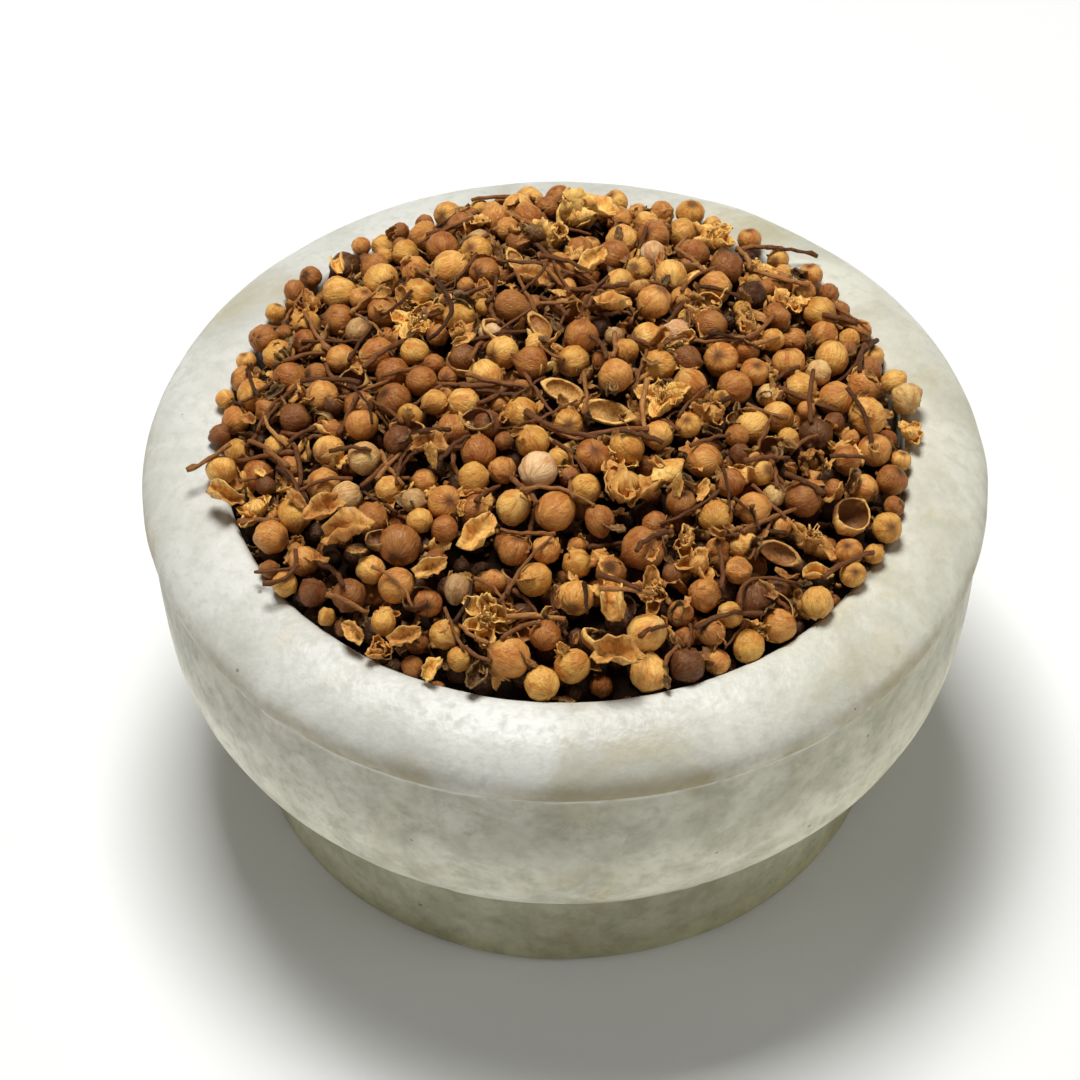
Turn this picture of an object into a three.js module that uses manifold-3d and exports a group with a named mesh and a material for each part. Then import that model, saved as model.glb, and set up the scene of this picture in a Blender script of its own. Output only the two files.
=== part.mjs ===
// A hand-cut white marble mortar, heaped over its rim with whole dried flower buds,
// their stalks, petals and split husks.
// Millimetres, +Z up. The origin is the centre of the foot's underside; the front faces -Y.
import * as THREE from 'three';
import { mergeVertices } from 'three/addons/utils/BufferGeometryUtils.js';
import Module from 'manifold-3d';

const wasm = await Module();
wasm.setup();

const TAU = 2 * Math.PI;
const AROUND = 48; // facets round the mortar
const CORE_AROUND = AROUND / 2; // facets round the heap's core, in step with the mortar's

// ---- driving dimensions of the mortar ----
const RIM_R = 70; // widest, where the rounded lip turns down
const OPENING_R = 57; // the opening, at the lip's inner edge
const HEIGHT = 70.3; // foot to the opening's edge
const LIP_DROP = 7.5; // from the opening's edge down to the widest place
const BAND_H = 2; // the band under the lip
const BAND_IN = 0.5; // how far it draws in to its lower edge, the ridge
const RIDGE_STEP = 0.8; // how far the ridge stands out from the belly
const SKIRT_R = 63.7; // the crisp edge under the belly
const SKIRT_Z = 28.7;
const BELLY_PULL_R = 69.7; // the point that the belly's curve leans towards
const BELLY_PULL_Z = 34.8;
const FOOT_TOP_R = 55.4;
const FOOT_R = 54.2;
const FOOT_TOP_Z = 26.4;
const FOOT_EDGE = 1.2; // worn edge of the foot
const COVE = 1.5; // where the foot turns out under the belly
const EDGE_ROUND = 0.8; // worn inner edge of the opening
const HOLLOW_DEPTH = 45; // opening's edge to the floor of the hollow
const HOLLOW_FULLNESS = 2.5; // 2 is a plain ellipse, more is fuller
const HAND_CUT = 0.35; // how far the cutting strays from a true circle
const OPENING_CHIPS = [[-88, 1.9], [-106, 1.5]]; // degrees round, and size
const RIDGE_CHIPS = [[-69, 1.4], [-112, 1.5], [20, 1.4], [135, 1.6]];

const RIDGE_Z = HEIGHT - LIP_DROP - BAND_H;

// ---- driving dimensions of the heap ----
const FIT_GAP = 0.4; // between the heap and the stone
const HEAP_EDGE_DROP = 3; // how far the heap starts below the opening's edge
const HEAP_RISE = 15.5; // from there to the top of the heap
const HEAP_UNEVEN = 0.7; // long, low swells of its surface
const BUD_COUNT = 200;
const BUD_SMALL = 4; // bud diameters
const BUD_LARGE = 7.2;
const BUD_BIAS = 1.7; // more than 1 makes most buds small
const BUD_SPOTS = 60; // places tried for each bud; the one with the most room is kept
const BUD_LOW = -0.1; // how far a bud's middle lies above the core, in radii
const BUD_HIGH = 0.4;
const STALK_COUNT = 13;
const STALK_R = 0.5;
const STALK_SHORT = 8;
const STALK_LONG = 15;
const STRAY_STALKS = [187, 148, 213, 47, 22, -36]; // degrees round, where one lies out over the lip
const KNOB_R = 0.9;
const HUSK_COUNT = 4;
const HUSK_R = 3.3;
const HUSK_WALL = 0.6;
const PETAL_COUNT = 10;
const PETAL_LONG = 6.4;
const PETAL_WIDE = 3.6;
const PETAL_THICK = 0.6;

// A small seeded generator, so that every run lays the same heap.
function seeded(seed) {
  let state = seed >>> 0;
  return () => {
    state = (state + 0x6d2b79f5) >>> 0;
    let mixed = Math.imul(state ^ (state >>> 15), state | 1);
    mixed ^= mixed + Math.imul(mixed ^ (mixed >>> 7), mixed | 61);
    return ((mixed ^ (mixed >>> 14)) >>> 0) / 4294967296;
  };
}

// ---- solids ----

// Turns a closed geometry into a solid that can be joined and cut.
function solid(geometry) {
  const bare = new THREE.BufferGeometry();
  bare.setAttribute('position', geometry.getAttribute('position').clone());
  bare.setIndex(geometry.getIndex());
  const merged = mergeVertices(bare, 1e-4);
  const index = merged.getIndex().array;
  const kept = [];
  for (let i = 0; i < index.length; i += 3) {
    const [a, b, c] = [index[i], index[i + 1], index[i + 2]];
    if (a !== b && b !== c && c !== a) kept.push(a, b, c);
  }
  return new wasm.Manifold(new wasm.Mesh({
    numProp: 3,
    vertProperties: new Float32Array(merged.getAttribute('position').array),
    triVerts: new Uint32Array(kept),
  }));
}

// The outer skin alone: scraps cut loose and hollows sealed by the joining are left out.
function outerSkin(mesh) {
  const count = mesh.vertProperties.length / 3;
  const parent = Array.from({ length: count }, (_, i) => i);
  const root = (i) => {
    while (parent[i] !== i) {
      parent[i] = parent[parent[i]];
      i = parent[i];
    }
    return i;
  };
  const tris = mesh.triVerts;
  for (let i = 0; i < tris.length; i += 3) {
    parent[root(tris[i])] = root(tris[i + 1]);
    parent[root(tris[i + 1])] = root(tris[i + 2]);
  }
  const sizes = new Map();
  for (let i = 0; i < tris.length; i += 3) {
    const skin = root(tris[i]);
    sizes.set(skin, (sizes.get(skin) ?? 0) + 1);
  }
  const [largest] = [...sizes.entries()].sort((a, b) => b[1] - a[1])[0];
  const kept = [];
  for (let i = 0; i < tris.length; i += 3) {
    if (root(tris[i]) === largest) kept.push(tris[i], tris[i + 1], tris[i + 2]);
  }
  return kept;
}

function geometryOf(manifold) {
  const mesh = manifold.getMesh();
  const geometry = new THREE.BufferGeometry();
  geometry.setAttribute('position', new THREE.BufferAttribute(mesh.vertProperties, 3));
  geometry.setIndex(outerSkin(mesh));
  geometry.computeVertexNormals();
  return geometry;
}

function placed(geometry, { x, y, z }, turn) {
  const place = new THREE.Matrix4().makeRotationFromQuaternion(turn);
  return geometry.applyMatrix4(place.setPosition(x, y, z));
}

// Spins a profile of (radius, height) points about +Z, then bends each vertex by warp.
function spun(profile, around, warp) {
  const geometry = new THREE.LatheGeometry(profile, around).rotateX(Math.PI / 2);
  const vertices = geometry.getAttribute('position');
  const vertex = new THREE.Vector3();
  for (let i = 0; i < vertices.count; i++) {
    warp(vertex.fromBufferAttribute(vertices, i));
    vertices.setXYZ(i, vertex.x, vertex.y, vertex.z);
  }
  return geometry;
}

// ---- the mortar ----

// The stone was cut by hand, so no circle of it is quite true.
function handCut(vertex) {
  const angle = Math.atan2(vertex.y, vertex.x);
  const radius = Math.hypot(vertex.x, vertex.y);
  const stray = HAND_CUT * (0.6 * Math.cos(2 * angle + 0.9) + 0.4 * Math.cos(3 * angle - 0.4));
  const scale = radius > 0 ? 1 + (stray * Math.min(1, radius / OPENING_R)) / radius : 1;
  vertex.x *= scale;
  vertex.y *= scale;
}

// The hollow's wall from the floor up to the opening, drawn in by gap.
function hollowWall(gap, steps, topZ) {
  const edgeZ = HEIGHT - EDGE_ROUND;
  const radius = OPENING_R - EDGE_ROUND - gap;
  const depth = HOLLOW_DEPTH - EDGE_ROUND - gap;
  const power = 2 / HOLLOW_FULLNESS;
  const reach = Math.asin(Math.max(0, (edgeZ - topZ) / depth) ** (1 / power));
  return Array.from({ length: steps + 1 }, (_, i) => {
    const turn = Math.PI / 2 + (reach - Math.PI / 2) * (i / steps);
    const across = i === 0 ? 0 : radius * Math.cos(turn) ** power;
    return new THREE.Vector2(across, edgeZ - depth * Math.sin(turn) ** power);
  });
}

function footProfile() {
  return [
    new THREE.Vector2(0, 0),
    new THREE.Vector2(FOOT_R - FOOT_EDGE, 0),
    new THREE.Vector2(FOOT_R, FOOT_EDGE),
    new THREE.Vector2(FOOT_TOP_R, FOOT_TOP_Z - COVE),
    new THREE.Vector2(FOOT_TOP_R + COVE, FOOT_TOP_Z),
    new THREE.Vector2(SKIRT_R - 1, (FOOT_TOP_Z * 3 + SKIRT_Z) / 4),
  ];
}

function bellyProfile() {
  const belly = new THREE.QuadraticBezierCurve(
    new THREE.Vector2(SKIRT_R, SKIRT_Z),
    new THREE.Vector2(BELLY_PULL_R, BELLY_PULL_Z),
    new THREE.Vector2(RIM_R - BAND_IN - RIDGE_STEP, RIDGE_Z - RIDGE_STEP),
  );
  return [...belly.getPoints(5), new THREE.Vector2(RIM_R - BAND_IN, RIDGE_Z)];
}

function lipProfile() {
  const lip = new THREE.EllipseCurve(OPENING_R, HEIGHT - LIP_DROP,
    RIM_R - OPENING_R, LIP_DROP, 0, Math.PI / 2);
  return lip.getPoints(6);
}

// A chip is a shallow scoop, knocked out of an edge of the stone.
function chip([degrees, size], radius, z) {
  const angle = THREE.MathUtils.degToRad(degrees);
  const scoop = new THREE.IcosahedronGeometry(size, 0).scale(0.6, 1, 0.5).rotateZ(angle);
  return solid(scoop.translate(radius * Math.cos(angle), radius * Math.sin(angle), z));
}

// The whole inside of the bowl, floor to opening, as the last stretch of the stone's profile.
function hollowProfile() {
  return hollowWall(0, 7, HEIGHT - EDGE_ROUND).reverse();
}

function mortarGeometry() {
  const profile = [...footProfile(), ...bellyProfile(), ...lipProfile(), ...hollowProfile()];
  const chips = [
    ...OPENING_CHIPS.map((at) => chip(at, OPENING_R - EDGE_ROUND / 2, HEIGHT + EDGE_ROUND)),
    ...RIDGE_CHIPS.map((at) => chip(at, RIM_R + BAND_IN, RIDGE_Z)),
  ];
  const turned = solid(spun(profile, AROUND, handCut));
  return geometryOf(chips.reduce((stone, scoop) => stone.subtract(scoop), turned));
}

// ---- the heap ----

// Height of the heap's surface, before the buds that stand out of it.
function heapHeight(x, y) {
  const share = Math.min(1, Math.hypot(x, y) / OPENING_R);
  const dome = HEAP_RISE * (1 - share ** 2.2);
  const swell = Math.sin(0.11 * x + 1.3) * Math.cos(0.09 * y - 0.4)
    + 0.6 * Math.sin(0.19 * y + 0.13 * x);
  return HEIGHT - HEAP_EDGE_DROP + dome + HEAP_UNEVEN * swell * (1 - share ** 6);
}

function heapCore() {
  const edgeZ = HEIGHT - HEAP_EDGE_DROP;
  const under = hollowWall(FIT_GAP, 5, edgeZ);
  const edge = under.at(-1);
  const rings = 5;
  const over = Array.from({ length: rings }, (_, i) => new THREE.Vector2(
    edge.x * (1 - (i + 1) / rings), HEIGHT));
  return solid(spun([...under, ...over], CORE_AROUND, (vertex) => {
    const onTop = vertex.z > (edgeZ + HEIGHT) / 2;
    if (onTop) vertex.z = heapHeight(vertex.x, vertex.y);
    handCut(vertex);
  }));
}

// The stone's outline near the opening, which the loose pieces keep clear of.
const stoneOutline = [...lipProfile(), ...hollowProfile()];

// How far a point at this radius and height lies from the stone; inside it is negative.
function clearOfStone(radius, z) {
  let nearest = Infinity;
  for (let i = 1; i < stoneOutline.length; i++) {
    const start = stoneOutline[i - 1];
    const along = stoneOutline[i].clone().sub(start);
    const point = new THREE.Vector2(radius, z).sub(start);
    const share = THREE.MathUtils.clamp(point.dot(along) / along.lengthSq(), 0, 1);
    const gap = point.clone().addScaledVector(along, -share);
    if (gap.length() < Math.abs(nearest)) {
      nearest = gap.length() * (along.cross(point) <= 0 ? 1 : -1);
    }
  }
  return nearest;
}

// The largest buds come first, and each goes where it has the most room round it.
function layBuds(random) {
  const laid = [];
  for (let i = 0; i < BUD_COUNT; i++) {
    const size = (1 - i / BUD_COUNT) ** BUD_BIAS;
    const radius = (BUD_SMALL + (BUD_LARGE - BUD_SMALL) * size) / 2;
    const rise = radius * THREE.MathUtils.lerp(BUD_LOW, BUD_HIGH, random());
    let best = null;
    for (let spot = 0; spot < BUD_SPOTS; spot++) {
      const { x, y } = openSpot(random, 0);
      const z = heapHeight(x, y) + rise;
      const crowding = laid.map((bud) => Math.hypot(x - bud.x, y - bud.y) - bud.radius - radius);
      const room = Math.min(OPENING_R, ...crowding);
      const clear = clearOfStone(Math.hypot(x, y), z) - radius - FIT_GAP - HAND_CUT;
      if (clear > 0 && (!best || room > best.room)) best = { x, y, z, radius, room };
    }
    laid.push(best);
  }
  return laid;
}

// A turn that stands a piece's own +Z along the heap's normal at x, y, leaning it a little.
function standing(x, y, lean, random) {
  const step = 0.5;
  const normal = new THREE.Vector3(
    heapHeight(x - step, y) - heapHeight(x + step, y),
    heapHeight(x, y - step) - heapHeight(x, y + step),
    2 * step,
  ).normalize();
  const upright = new THREE.Quaternion().setFromUnitVectors(new THREE.Vector3(0, 0, 1), normal);
  const leaning = new THREE.Quaternion().setFromEuler(
    new THREE.Euler((random() - 0.5) * lean, (random() - 0.5) * lean, TAU * random(), 'XYZ'));
  return upright.multiply(leaning);
}

// A bud is a ball of few sides, half sunk in the heap.
function budSolid(bud, random) {
  const ball = new THREE.IcosahedronGeometry(bud.radius, 0).scale(1, 1, 0.95 + 0.12 * random());
  return solid(placed(ball, bud, standing(bud.x, bud.y, 0.5, random)));
}

// Top of whatever lies at x, y: a bud, or the heap's own surface.
function topAt(x, y, laid) {
  let top = heapHeight(x, y);
  for (const bud of laid) {
    const apart = Math.hypot(x - bud.x, y - bud.y);
    if (apart < bud.radius) {
      top = Math.max(top, bud.z + Math.sqrt(bud.radius ** 2 - apart ** 2));
    }
  }
  return top;
}

// A spot on the heap where a flat piece this long can lie clear of the stone.
function openSpot(random, reach) {
  const out = (OPENING_R - reach) * Math.sqrt(random());
  const angle = TAU * random();
  return new THREE.Vector2(out * Math.cos(angle), out * Math.sin(angle));
}

// Height of the lip's top at this radius from the middle of the bowl.
function lipHeight(radius) {
  const out = THREE.MathUtils.clamp((radius - OPENING_R) / (RIM_R - OPENING_R), 0, 1);
  return HEIGHT - LIP_DROP + LIP_DROP * Math.sqrt(1 - out * out);
}

// A stalk bridges the buds in a bow, with a knob on its outer end. One that reaches out over
// the stone lies just clear of the lip; null means that it would cross the stone.
function stalkSolid({ middle, heading, length, bow }, laid) {
  const points = [-0.5, -0.2, 0.2, 0.5].map((along) => {
    const aside = bow * (1 - 4 * along * along);
    const x = middle.x + length * along * Math.cos(heading) - aside * Math.sin(heading);
    const y = middle.y + length * along * Math.sin(heading) + aside * Math.cos(heading);
    const radius = Math.hypot(x, y);
    const onStone = lipHeight(radius) + FIT_GAP + HAND_CUT;
    return new THREE.Vector3(x, y, Math.max(topAt(x, y, laid), onStone) + STALK_R);
  });
  for (const i of [1, 2]) {
    points[i].z = Math.max(points[i].z, points[0].z * (3 - i) / 3 + points[3].z * i / 3);
  }
  const path = new THREE.CatmullRomCurve3(points);
  const needed = STALK_R + FIT_GAP;
  const clear = path.getPoints(24).every((at) => clearOfStone(Math.hypot(at.x, at.y), at.z) > needed);
  if (!clear) return null;
  const section = new THREE.Shape([0, 1, 2, 3].map((side) => new THREE.Vector2(
    STALK_R * Math.cos((TAU * side) / 4), STALK_R * Math.sin((TAU * side) / 4))));
  const tube = solid(new THREE.ExtrudeGeometry(section, { steps: 4, extrudePath: path }));
  const knob = new THREE.OctahedronGeometry(KNOB_R, 0).translate(...points[3].toArray());
  return tube.add(solid(knob));
}

function looseStalk(random, laid) {
  const length = STALK_SHORT + (STALK_LONG - STALK_SHORT) * random();
  const middle = openSpot(random, length / 2 + 1);
  const bow = (random() - 0.5) * 0.5 * length;
  return stalkSolid({ middle, heading: TAU * random(), length, bow }, laid);
}

function strayStalk(degrees, laid) {
  const angle = THREE.MathUtils.degToRad(degrees);
  const middle = new THREE.Vector2(Math.cos(angle), Math.sin(angle)).multiplyScalar(OPENING_R);
  return stalkSolid({ middle, heading: angle, length: STALK_SHORT + 4, bow: 1.2 }, laid);
}

// A husk is half of an empty bud, its open side more or less up.
function huskSolid(random, laid) {
  const radius = HUSK_R * (0.75 + 0.3 * random());
  const { x, y } = openSpot(random, radius + 1.5);
  const half = (wall) => [-Math.PI / 2, -Math.PI / 5, 0].map((turn) => new THREE.Vector2(
    (radius - wall) * Math.cos(turn), (radius - wall) * Math.sin(turn)));
  const profile = [...half(0), ...half(HUSK_WALL).reverse()];
  profile[0].x = 0;
  profile.at(-1).x = 0;
  const cup = new THREE.LatheGeometry(profile, 7).rotateX(Math.PI / 2);
  const z = topAt(x, y, laid) + 0.4 * radius;
  return solid(placed(cup, { x, y, z }, standing(x, y, 1.2, random)));
}

// A petal is a thin cupped leaf; both faces are split into triangles alike.
function petalSolid(random, laid) {
  const size = 0.7 + 0.5 * random();
  const leaf = new THREE.BoxGeometry(PETAL_LONG * size, PETAL_WIDE * size, PETAL_THICK, 2, 2, 1);
  const vertices = leaf.getAttribute('position');
  const curl = 0.09 + 0.08 * random();
  for (let i = 0; i < vertices.count; i++) {
    const [x, y, z] = [vertices.getX(i), vertices.getY(i), vertices.getZ(i)];
    const narrow = 1 - 0.7 * Math.abs((2 * x) / (PETAL_LONG * size)) ** 2;
    vertices.setXYZ(i, x, y * narrow, z + curl * x * x + 1.4 * curl * y * y);
  }
  const { x, y } = openSpot(random, PETAL_LONG * 0.6 + 1);
  const z = topAt(x, y, laid) + 0.2;
  return solid(placed(leaf, { x, y, z }, standing(x, y, 1.3, random)));
}

function heapGeometry() {
  const random = seeded(20);
  const laid = layBuds(random);
  const pieces = laid.map((bud) => budSolid(bud, random));
  for (let i = 0; i < HUSK_COUNT; i++) pieces.push(huskSolid(random, laid));
  for (let i = 0; i < STALK_COUNT; i++) pieces.push(looseStalk(random, laid));
  for (const degrees of STRAY_STALKS) pieces.push(strayStalk(degrees, laid));
  for (let i = 0; i < PETAL_COUNT; i++) pieces.push(petalSolid(random, laid));
  const heap = pieces.filter(Boolean).reduce((joined, piece) => joined.add(piece), heapCore());
  return geometryOf(heap);
}

// ---- the bowl and its heap ----

const marble = new THREE.MeshStandardMaterial({ color: 0xc9c7bb, roughness: 0.45, metalness: 0 });
const driedBuds = new THREE.MeshStandardMaterial({ color: 0x9a5f2a, roughness: 0.7, metalness: 0 });

const mortar = new THREE.Mesh(mortarGeometry(), marble);
mortar.name = 'mortar';

const heap = new THREE.Mesh(heapGeometry(), driedBuds);
heap.name = 'heap';

const group = new THREE.Group();
group.add(mortar, heap);
export default group;
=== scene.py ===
"""A white marble mortar heaped over its rim with whole dried flower buds.

The stone bowl is turned, chipped and dirtied as the real one is. The heap is loose: round buds,
some on curved stalks, open flowers, split husks, petals and crumbs, each one modelled, laid on
one another by size and fitted to the heap's own core, whose near-black colour is painted shade.
"""

import logging
import math
import random
from dataclasses import dataclass, field
from enum import Enum
from typing import Callable, Optional, Sequence

import bpy
import numpy as np
from mathutils import Euler, Matrix, Vector, noise


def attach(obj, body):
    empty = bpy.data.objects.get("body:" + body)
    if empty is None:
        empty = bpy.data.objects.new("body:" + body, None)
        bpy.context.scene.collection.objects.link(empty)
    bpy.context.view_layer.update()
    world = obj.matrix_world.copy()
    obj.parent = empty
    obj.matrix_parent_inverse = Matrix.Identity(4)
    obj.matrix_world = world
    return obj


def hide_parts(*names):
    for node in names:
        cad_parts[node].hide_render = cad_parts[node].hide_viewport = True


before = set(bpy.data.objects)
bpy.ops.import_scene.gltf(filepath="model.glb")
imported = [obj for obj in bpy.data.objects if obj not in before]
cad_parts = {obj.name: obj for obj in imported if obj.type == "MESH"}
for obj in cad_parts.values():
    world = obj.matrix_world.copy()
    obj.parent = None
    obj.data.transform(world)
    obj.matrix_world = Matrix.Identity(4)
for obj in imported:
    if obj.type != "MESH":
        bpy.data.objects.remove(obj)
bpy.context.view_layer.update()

log = logging.getLogger("bud_bowl")
MM = 0.001
TAU = 2 * math.pi
ROOT = "root"


# ---- the bowl's measures, shared by the stone and by what lies in it ----


@dataclass(frozen=True)
class BowlForm:
    """The turned form of the stone, in metres, with its origin under the foot's middle."""

    rim_r: float = 70 * MM
    opening_r: float = 57 * MM
    height: float = 70.3 * MM
    lip_drop: float = 7.5 * MM
    band_h: float = 2 * MM
    band_in: float = 0.5 * MM
    ridge_step: float = 0.8 * MM
    skirt_r: float = 63.7 * MM
    skirt_z: float = 28.7 * MM
    belly_pull: tuple[float, float] = (69.7 * MM, 34.8 * MM)
    foot_top_r: float = 55.4 * MM
    foot_r: float = 54.2 * MM
    foot_top_z: float = 26.4 * MM
    foot_edge: float = 1.2 * MM
    cove: float = 1.5 * MM
    edge_round: float = 0.8 * MM
    hollow_depth: float = 45 * MM
    hollow_fullness: float = 2.5
    hand_cut: float = 0.35 * MM

    @property
    def ridge_z(self) -> float:
        """Height of the ridge under the lip's band."""
        return self.height - self.lip_drop - self.band_h

    def stray(self, angle: float) -> float:
        """How far the hand-cut stone strays from a true circle at this angle."""
        return self.hand_cut * (0.6 * math.cos(2 * angle + 0.9) + 0.4 * math.cos(3 * angle - 0.4))

    def lip_z(self, radius: float) -> float:
        """Height of the lip's top at this distance from the axis."""
        out = min(1.0, max(0.0, (radius - self.opening_r) / (self.rim_r - self.opening_r)))
        return self.height - self.lip_drop + self.lip_drop * math.sqrt(1 - out * out)

    def hollow(self, gap: float, steps: int, top_z: float) -> list[tuple[float, float]]:
        """The hollow's wall from its floor upwards.

        Args:
            gap: How far the line is drawn in from the stone.
            steps: Number of stretches.
            top_z: Height at which the line ends.

        Returns:
            Points of radius and height.
        """
        edge_z = self.height - self.edge_round
        across = self.opening_r - self.edge_round - gap
        depth = self.hollow_depth - self.edge_round - gap
        power = 2 / self.hollow_fullness
        reach = math.asin(max(0.0, (edge_z - top_z) / depth) ** (1 / power))
        line = []
        for step in range(steps + 1):
            turn = math.pi / 2 + (reach - math.pi / 2) * step / steps
            out = 0.0 if step == 0 else across * math.cos(turn) ** power
            line.append((out, edge_z - depth * math.sin(turn) ** power))
        return line

    def stone_line(self) -> np.ndarray:
        """Points close together along the lip and the hollow, which loose pieces keep clear of."""
        lip = [(r, self.lip_z(r)) for r in np.linspace(self.rim_r, self.opening_r, 40)]
        wall = self.hollow(0.0, 60, self.height - self.edge_round)[::-1]
        return np.array(lip + wall)


@dataclass(frozen=True)
class HeapForm:
    """The heap's domed surface, on which the buds lie."""

    bowl: BowlForm
    edge_drop: float = 0.9 * MM
    rise: float = 14.0 * MM
    uneven: float = 0.7 * MM
    fullness: float = 2.2
    back_rise: float = 2.4 * MM
    back_y: float = 40 * MM
    back_spread: float = 19 * MM
    spill: float = 2.6 * MM
    spill_way: float = math.radians(92)
    ceiling: float = 88.8 * MM

    def brim(self, x: float, y: float) -> float:
        """How much the heap spills against the lip on this side: 0 in front, 1 at the back."""
        return min(1.0, max(0.0, 1.0 + math.cos(math.atan2(y, x) - self.spill_way)))

    def height(self, x: float, y: float) -> float:
        """Height of the heap's surface at a place, in metres.

        Args:
            x: Place along X.
            y: Place along Y.

        Returns:
            The height.
        """
        share = min(1.0, math.hypot(x, y) / self.bowl.opening_r)
        swell = math.sin(110 * x + 1.3) * math.cos(90 * y - 0.4) + 0.6 * math.sin(190 * y + 130 * x)
        dome = self.rise * (1 - share**self.fullness)
        far = math.hypot(x, y - self.back_y) / self.back_spread
        dome += self.back_rise * math.exp(-far * far)
        dome += self.spill * self.brim(x, y) * share**5
        return self.bowl.height - self.edge_drop + dome + self.uneven * swell * (1 - share**6)

    def normal(self, x: float, y: float) -> Vector:
        """The surface's upward normal at a place."""
        step = 0.5 * MM
        across = self.height(x - step, y) - self.height(x + step, y)
        along = self.height(x, y - step) - self.height(x, y + step)
        return Vector((across, along, 2 * step)).normalized()


# ---- the camera of the photograph ----


@dataclass(frozen=True)
class PhotoCamera:
    """Where the photograph was taken from. Its frame is 1080 pixels square."""

    form: BowlForm
    frame_px: float = 1080.0
    axis_x_px: float = 564.3
    aim_y_px: float = 544.0
    focal_px: float = 3932.8
    tilt: float = math.radians(47.14)
    distance: float = 667.4 * MM
    aim_below: float = 25 * MM
    sensor: float = 36.0

    @property
    def aim(self) -> Vector:
        """The point on the bowl's axis that the camera looks at."""
        return Vector((0, 0, self.form.height - self.aim_below))

    @property
    def place(self) -> Vector:
        """Where the camera stands."""
        back = Vector((0, -math.cos(self.tilt), math.sin(self.tilt)))
        return self.aim + self.distance * back

    def build(self) -> None:
        """Adds the camera and makes it the scene's."""
        data = bpy.data.cameras.new("photo_camera")
        data.sensor_width = self.sensor
        data.lens = self.sensor * self.focal_px / self.frame_px
        data.shift_x = (self.frame_px / 2 - self.axis_x_px) / self.frame_px
        data.shift_y = (self.aim_y_px - self.frame_px / 2) / self.frame_px
        data.clip_start = 0.01
        data.dof.use_dof = False
        camera = bpy.data.objects.new("photo_camera", data)
        camera.location = self.place
        camera.rotation_euler = (math.pi / 2 - self.tilt, 0, 0)
        bpy.context.scene.collection.objects.link(camera)
        bpy.context.scene.camera = camera

    def on_heap(self, photo_x: float, photo_y: float, heap: HeapForm, lift: float) -> Vector:
        """Where a pixel of the photograph lies on the heap.

        Args:
            photo_x: Pixel column.
            photo_y: Pixel row, from the top.
            heap: The surface to meet.
            lift: How far above the surface the point lies.

        Returns:
            The point, in metres.
        """
        ahead = Vector((0, math.cos(self.tilt), -math.sin(self.tilt)))
        up = Vector((0, math.sin(self.tilt), math.cos(self.tilt)))
        ray = ahead + Vector((1, 0, 0)) * ((photo_x - self.axis_x_px) / self.focal_px)
        ray -= up * ((photo_y - self.aim_y_px) / self.focal_px)
        point = self.aim
        for _ in range(20):
            level = heap.height(point.x, point.y) + lift
            point = self.place + ray * ((level - self.place.z) / ray.z)
        return point


@dataclass(frozen=True)
class Studio:
    """A plain pale floor, lit softly from above, from the front and from both sides."""

    floor_size: float = 6.0
    floor_colour: tuple[float, float, float] = (0.86, 0.86, 0.85)
    sky_strength: float = 0.065
    lights: tuple[tuple[str, float, float, tuple[float, float, float]], ...] = (
        ("top_light", 7.6, 0.30, (-0.06, 0.18, 0.83)),
        ("front_light", 1.8, 0.8, (0.0, -1.0, 0.28)),
        ("left_light", 2.1, 0.6, (-1.0, -0.25, 0.26)),
        ("right_light", 2.8, 0.6, (1.0, -0.25, 0.28)),
    )

    def area_light(self, name: str, watts: float, size: float,
                   place: tuple[float, float, float]) -> None:
        """Adds a square soft box that faces the bowl.

        Args:
            name: Its name.
            watts: Its power.
            size: Its side, in metres.
            place: Where it hangs, in metres.
        """
        data = bpy.data.lights.new(name, "AREA")
        data.energy = watts
        data.size = size
        light = bpy.data.objects.new(name, data)
        light.location = place
        light.rotation_euler = (Vector(place) - Vector((0, 0, 0.06))).to_track_quat("Z", "Y").to_euler()
        bpy.context.scene.collection.objects.link(light)

    def build(self) -> None:
        """Adds the floor, the sky and the lights."""
        scene = bpy.context.scene
        scene.view_settings.view_transform = "Standard"
        world = bpy.data.worlds.new("studio_sky")
        world.use_nodes = True
        background = world.node_tree.nodes["Background"]
        background.inputs["Color"].default_value = (1, 1, 1, 1)
        background.inputs["Strength"].default_value = self.sky_strength
        scene.world = world
        for light in self.lights:
            self.area_light(*light)
        start_fresh()
        bpy.ops.mesh.primitive_plane_add(size=self.floor_size)
        floor = bpy.context.object
        floor.name = "studio_floor"
        material = bpy.data.materials.new("studio_floor")
        material.use_nodes = True
        shader = material.node_tree.nodes["Principled BSDF"]
        shader.inputs["Base Color"].default_value = (*self.floor_colour, 1)
        shader.inputs["Roughness"].default_value = 0.9
        floor.data.materials.append(material)


# ---- modelling by hand ----


def start_fresh() -> None:
    """Leaves edit mode and deselects everything."""
    if bpy.context.object and bpy.context.object.mode != "OBJECT":
        bpy.ops.object.mode_set(mode="OBJECT")
    bpy.ops.object.select_all(action="DESELECT")


def take(piece: bpy.types.Object) -> None:
    """Leaves edit mode with just this piece selected and active."""
    start_fresh()
    piece.select_set(True)
    bpy.context.view_layer.objects.active = piece


def pick(piece: bpy.types.Object, test: Callable[[Vector], bool]) -> None:
    """Goes into edit mode with just those corners of the piece selected that pass the test.

    Args:
        piece: The object being shaped.
        test: Says yes or no to a corner's place.
    """
    bpy.ops.object.mode_set(mode="OBJECT")
    mesh = piece.data
    mesh.polygons.foreach_set("select", [False] * len(mesh.polygons))
    mesh.edges.foreach_set("select", [False] * len(mesh.edges))
    mesh.vertices.foreach_set("select", [test(corner.co) for corner in mesh.vertices])
    bpy.ops.object.mode_set(mode="EDIT")
    bpy.ops.mesh.select_mode(type="VERT")


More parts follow.
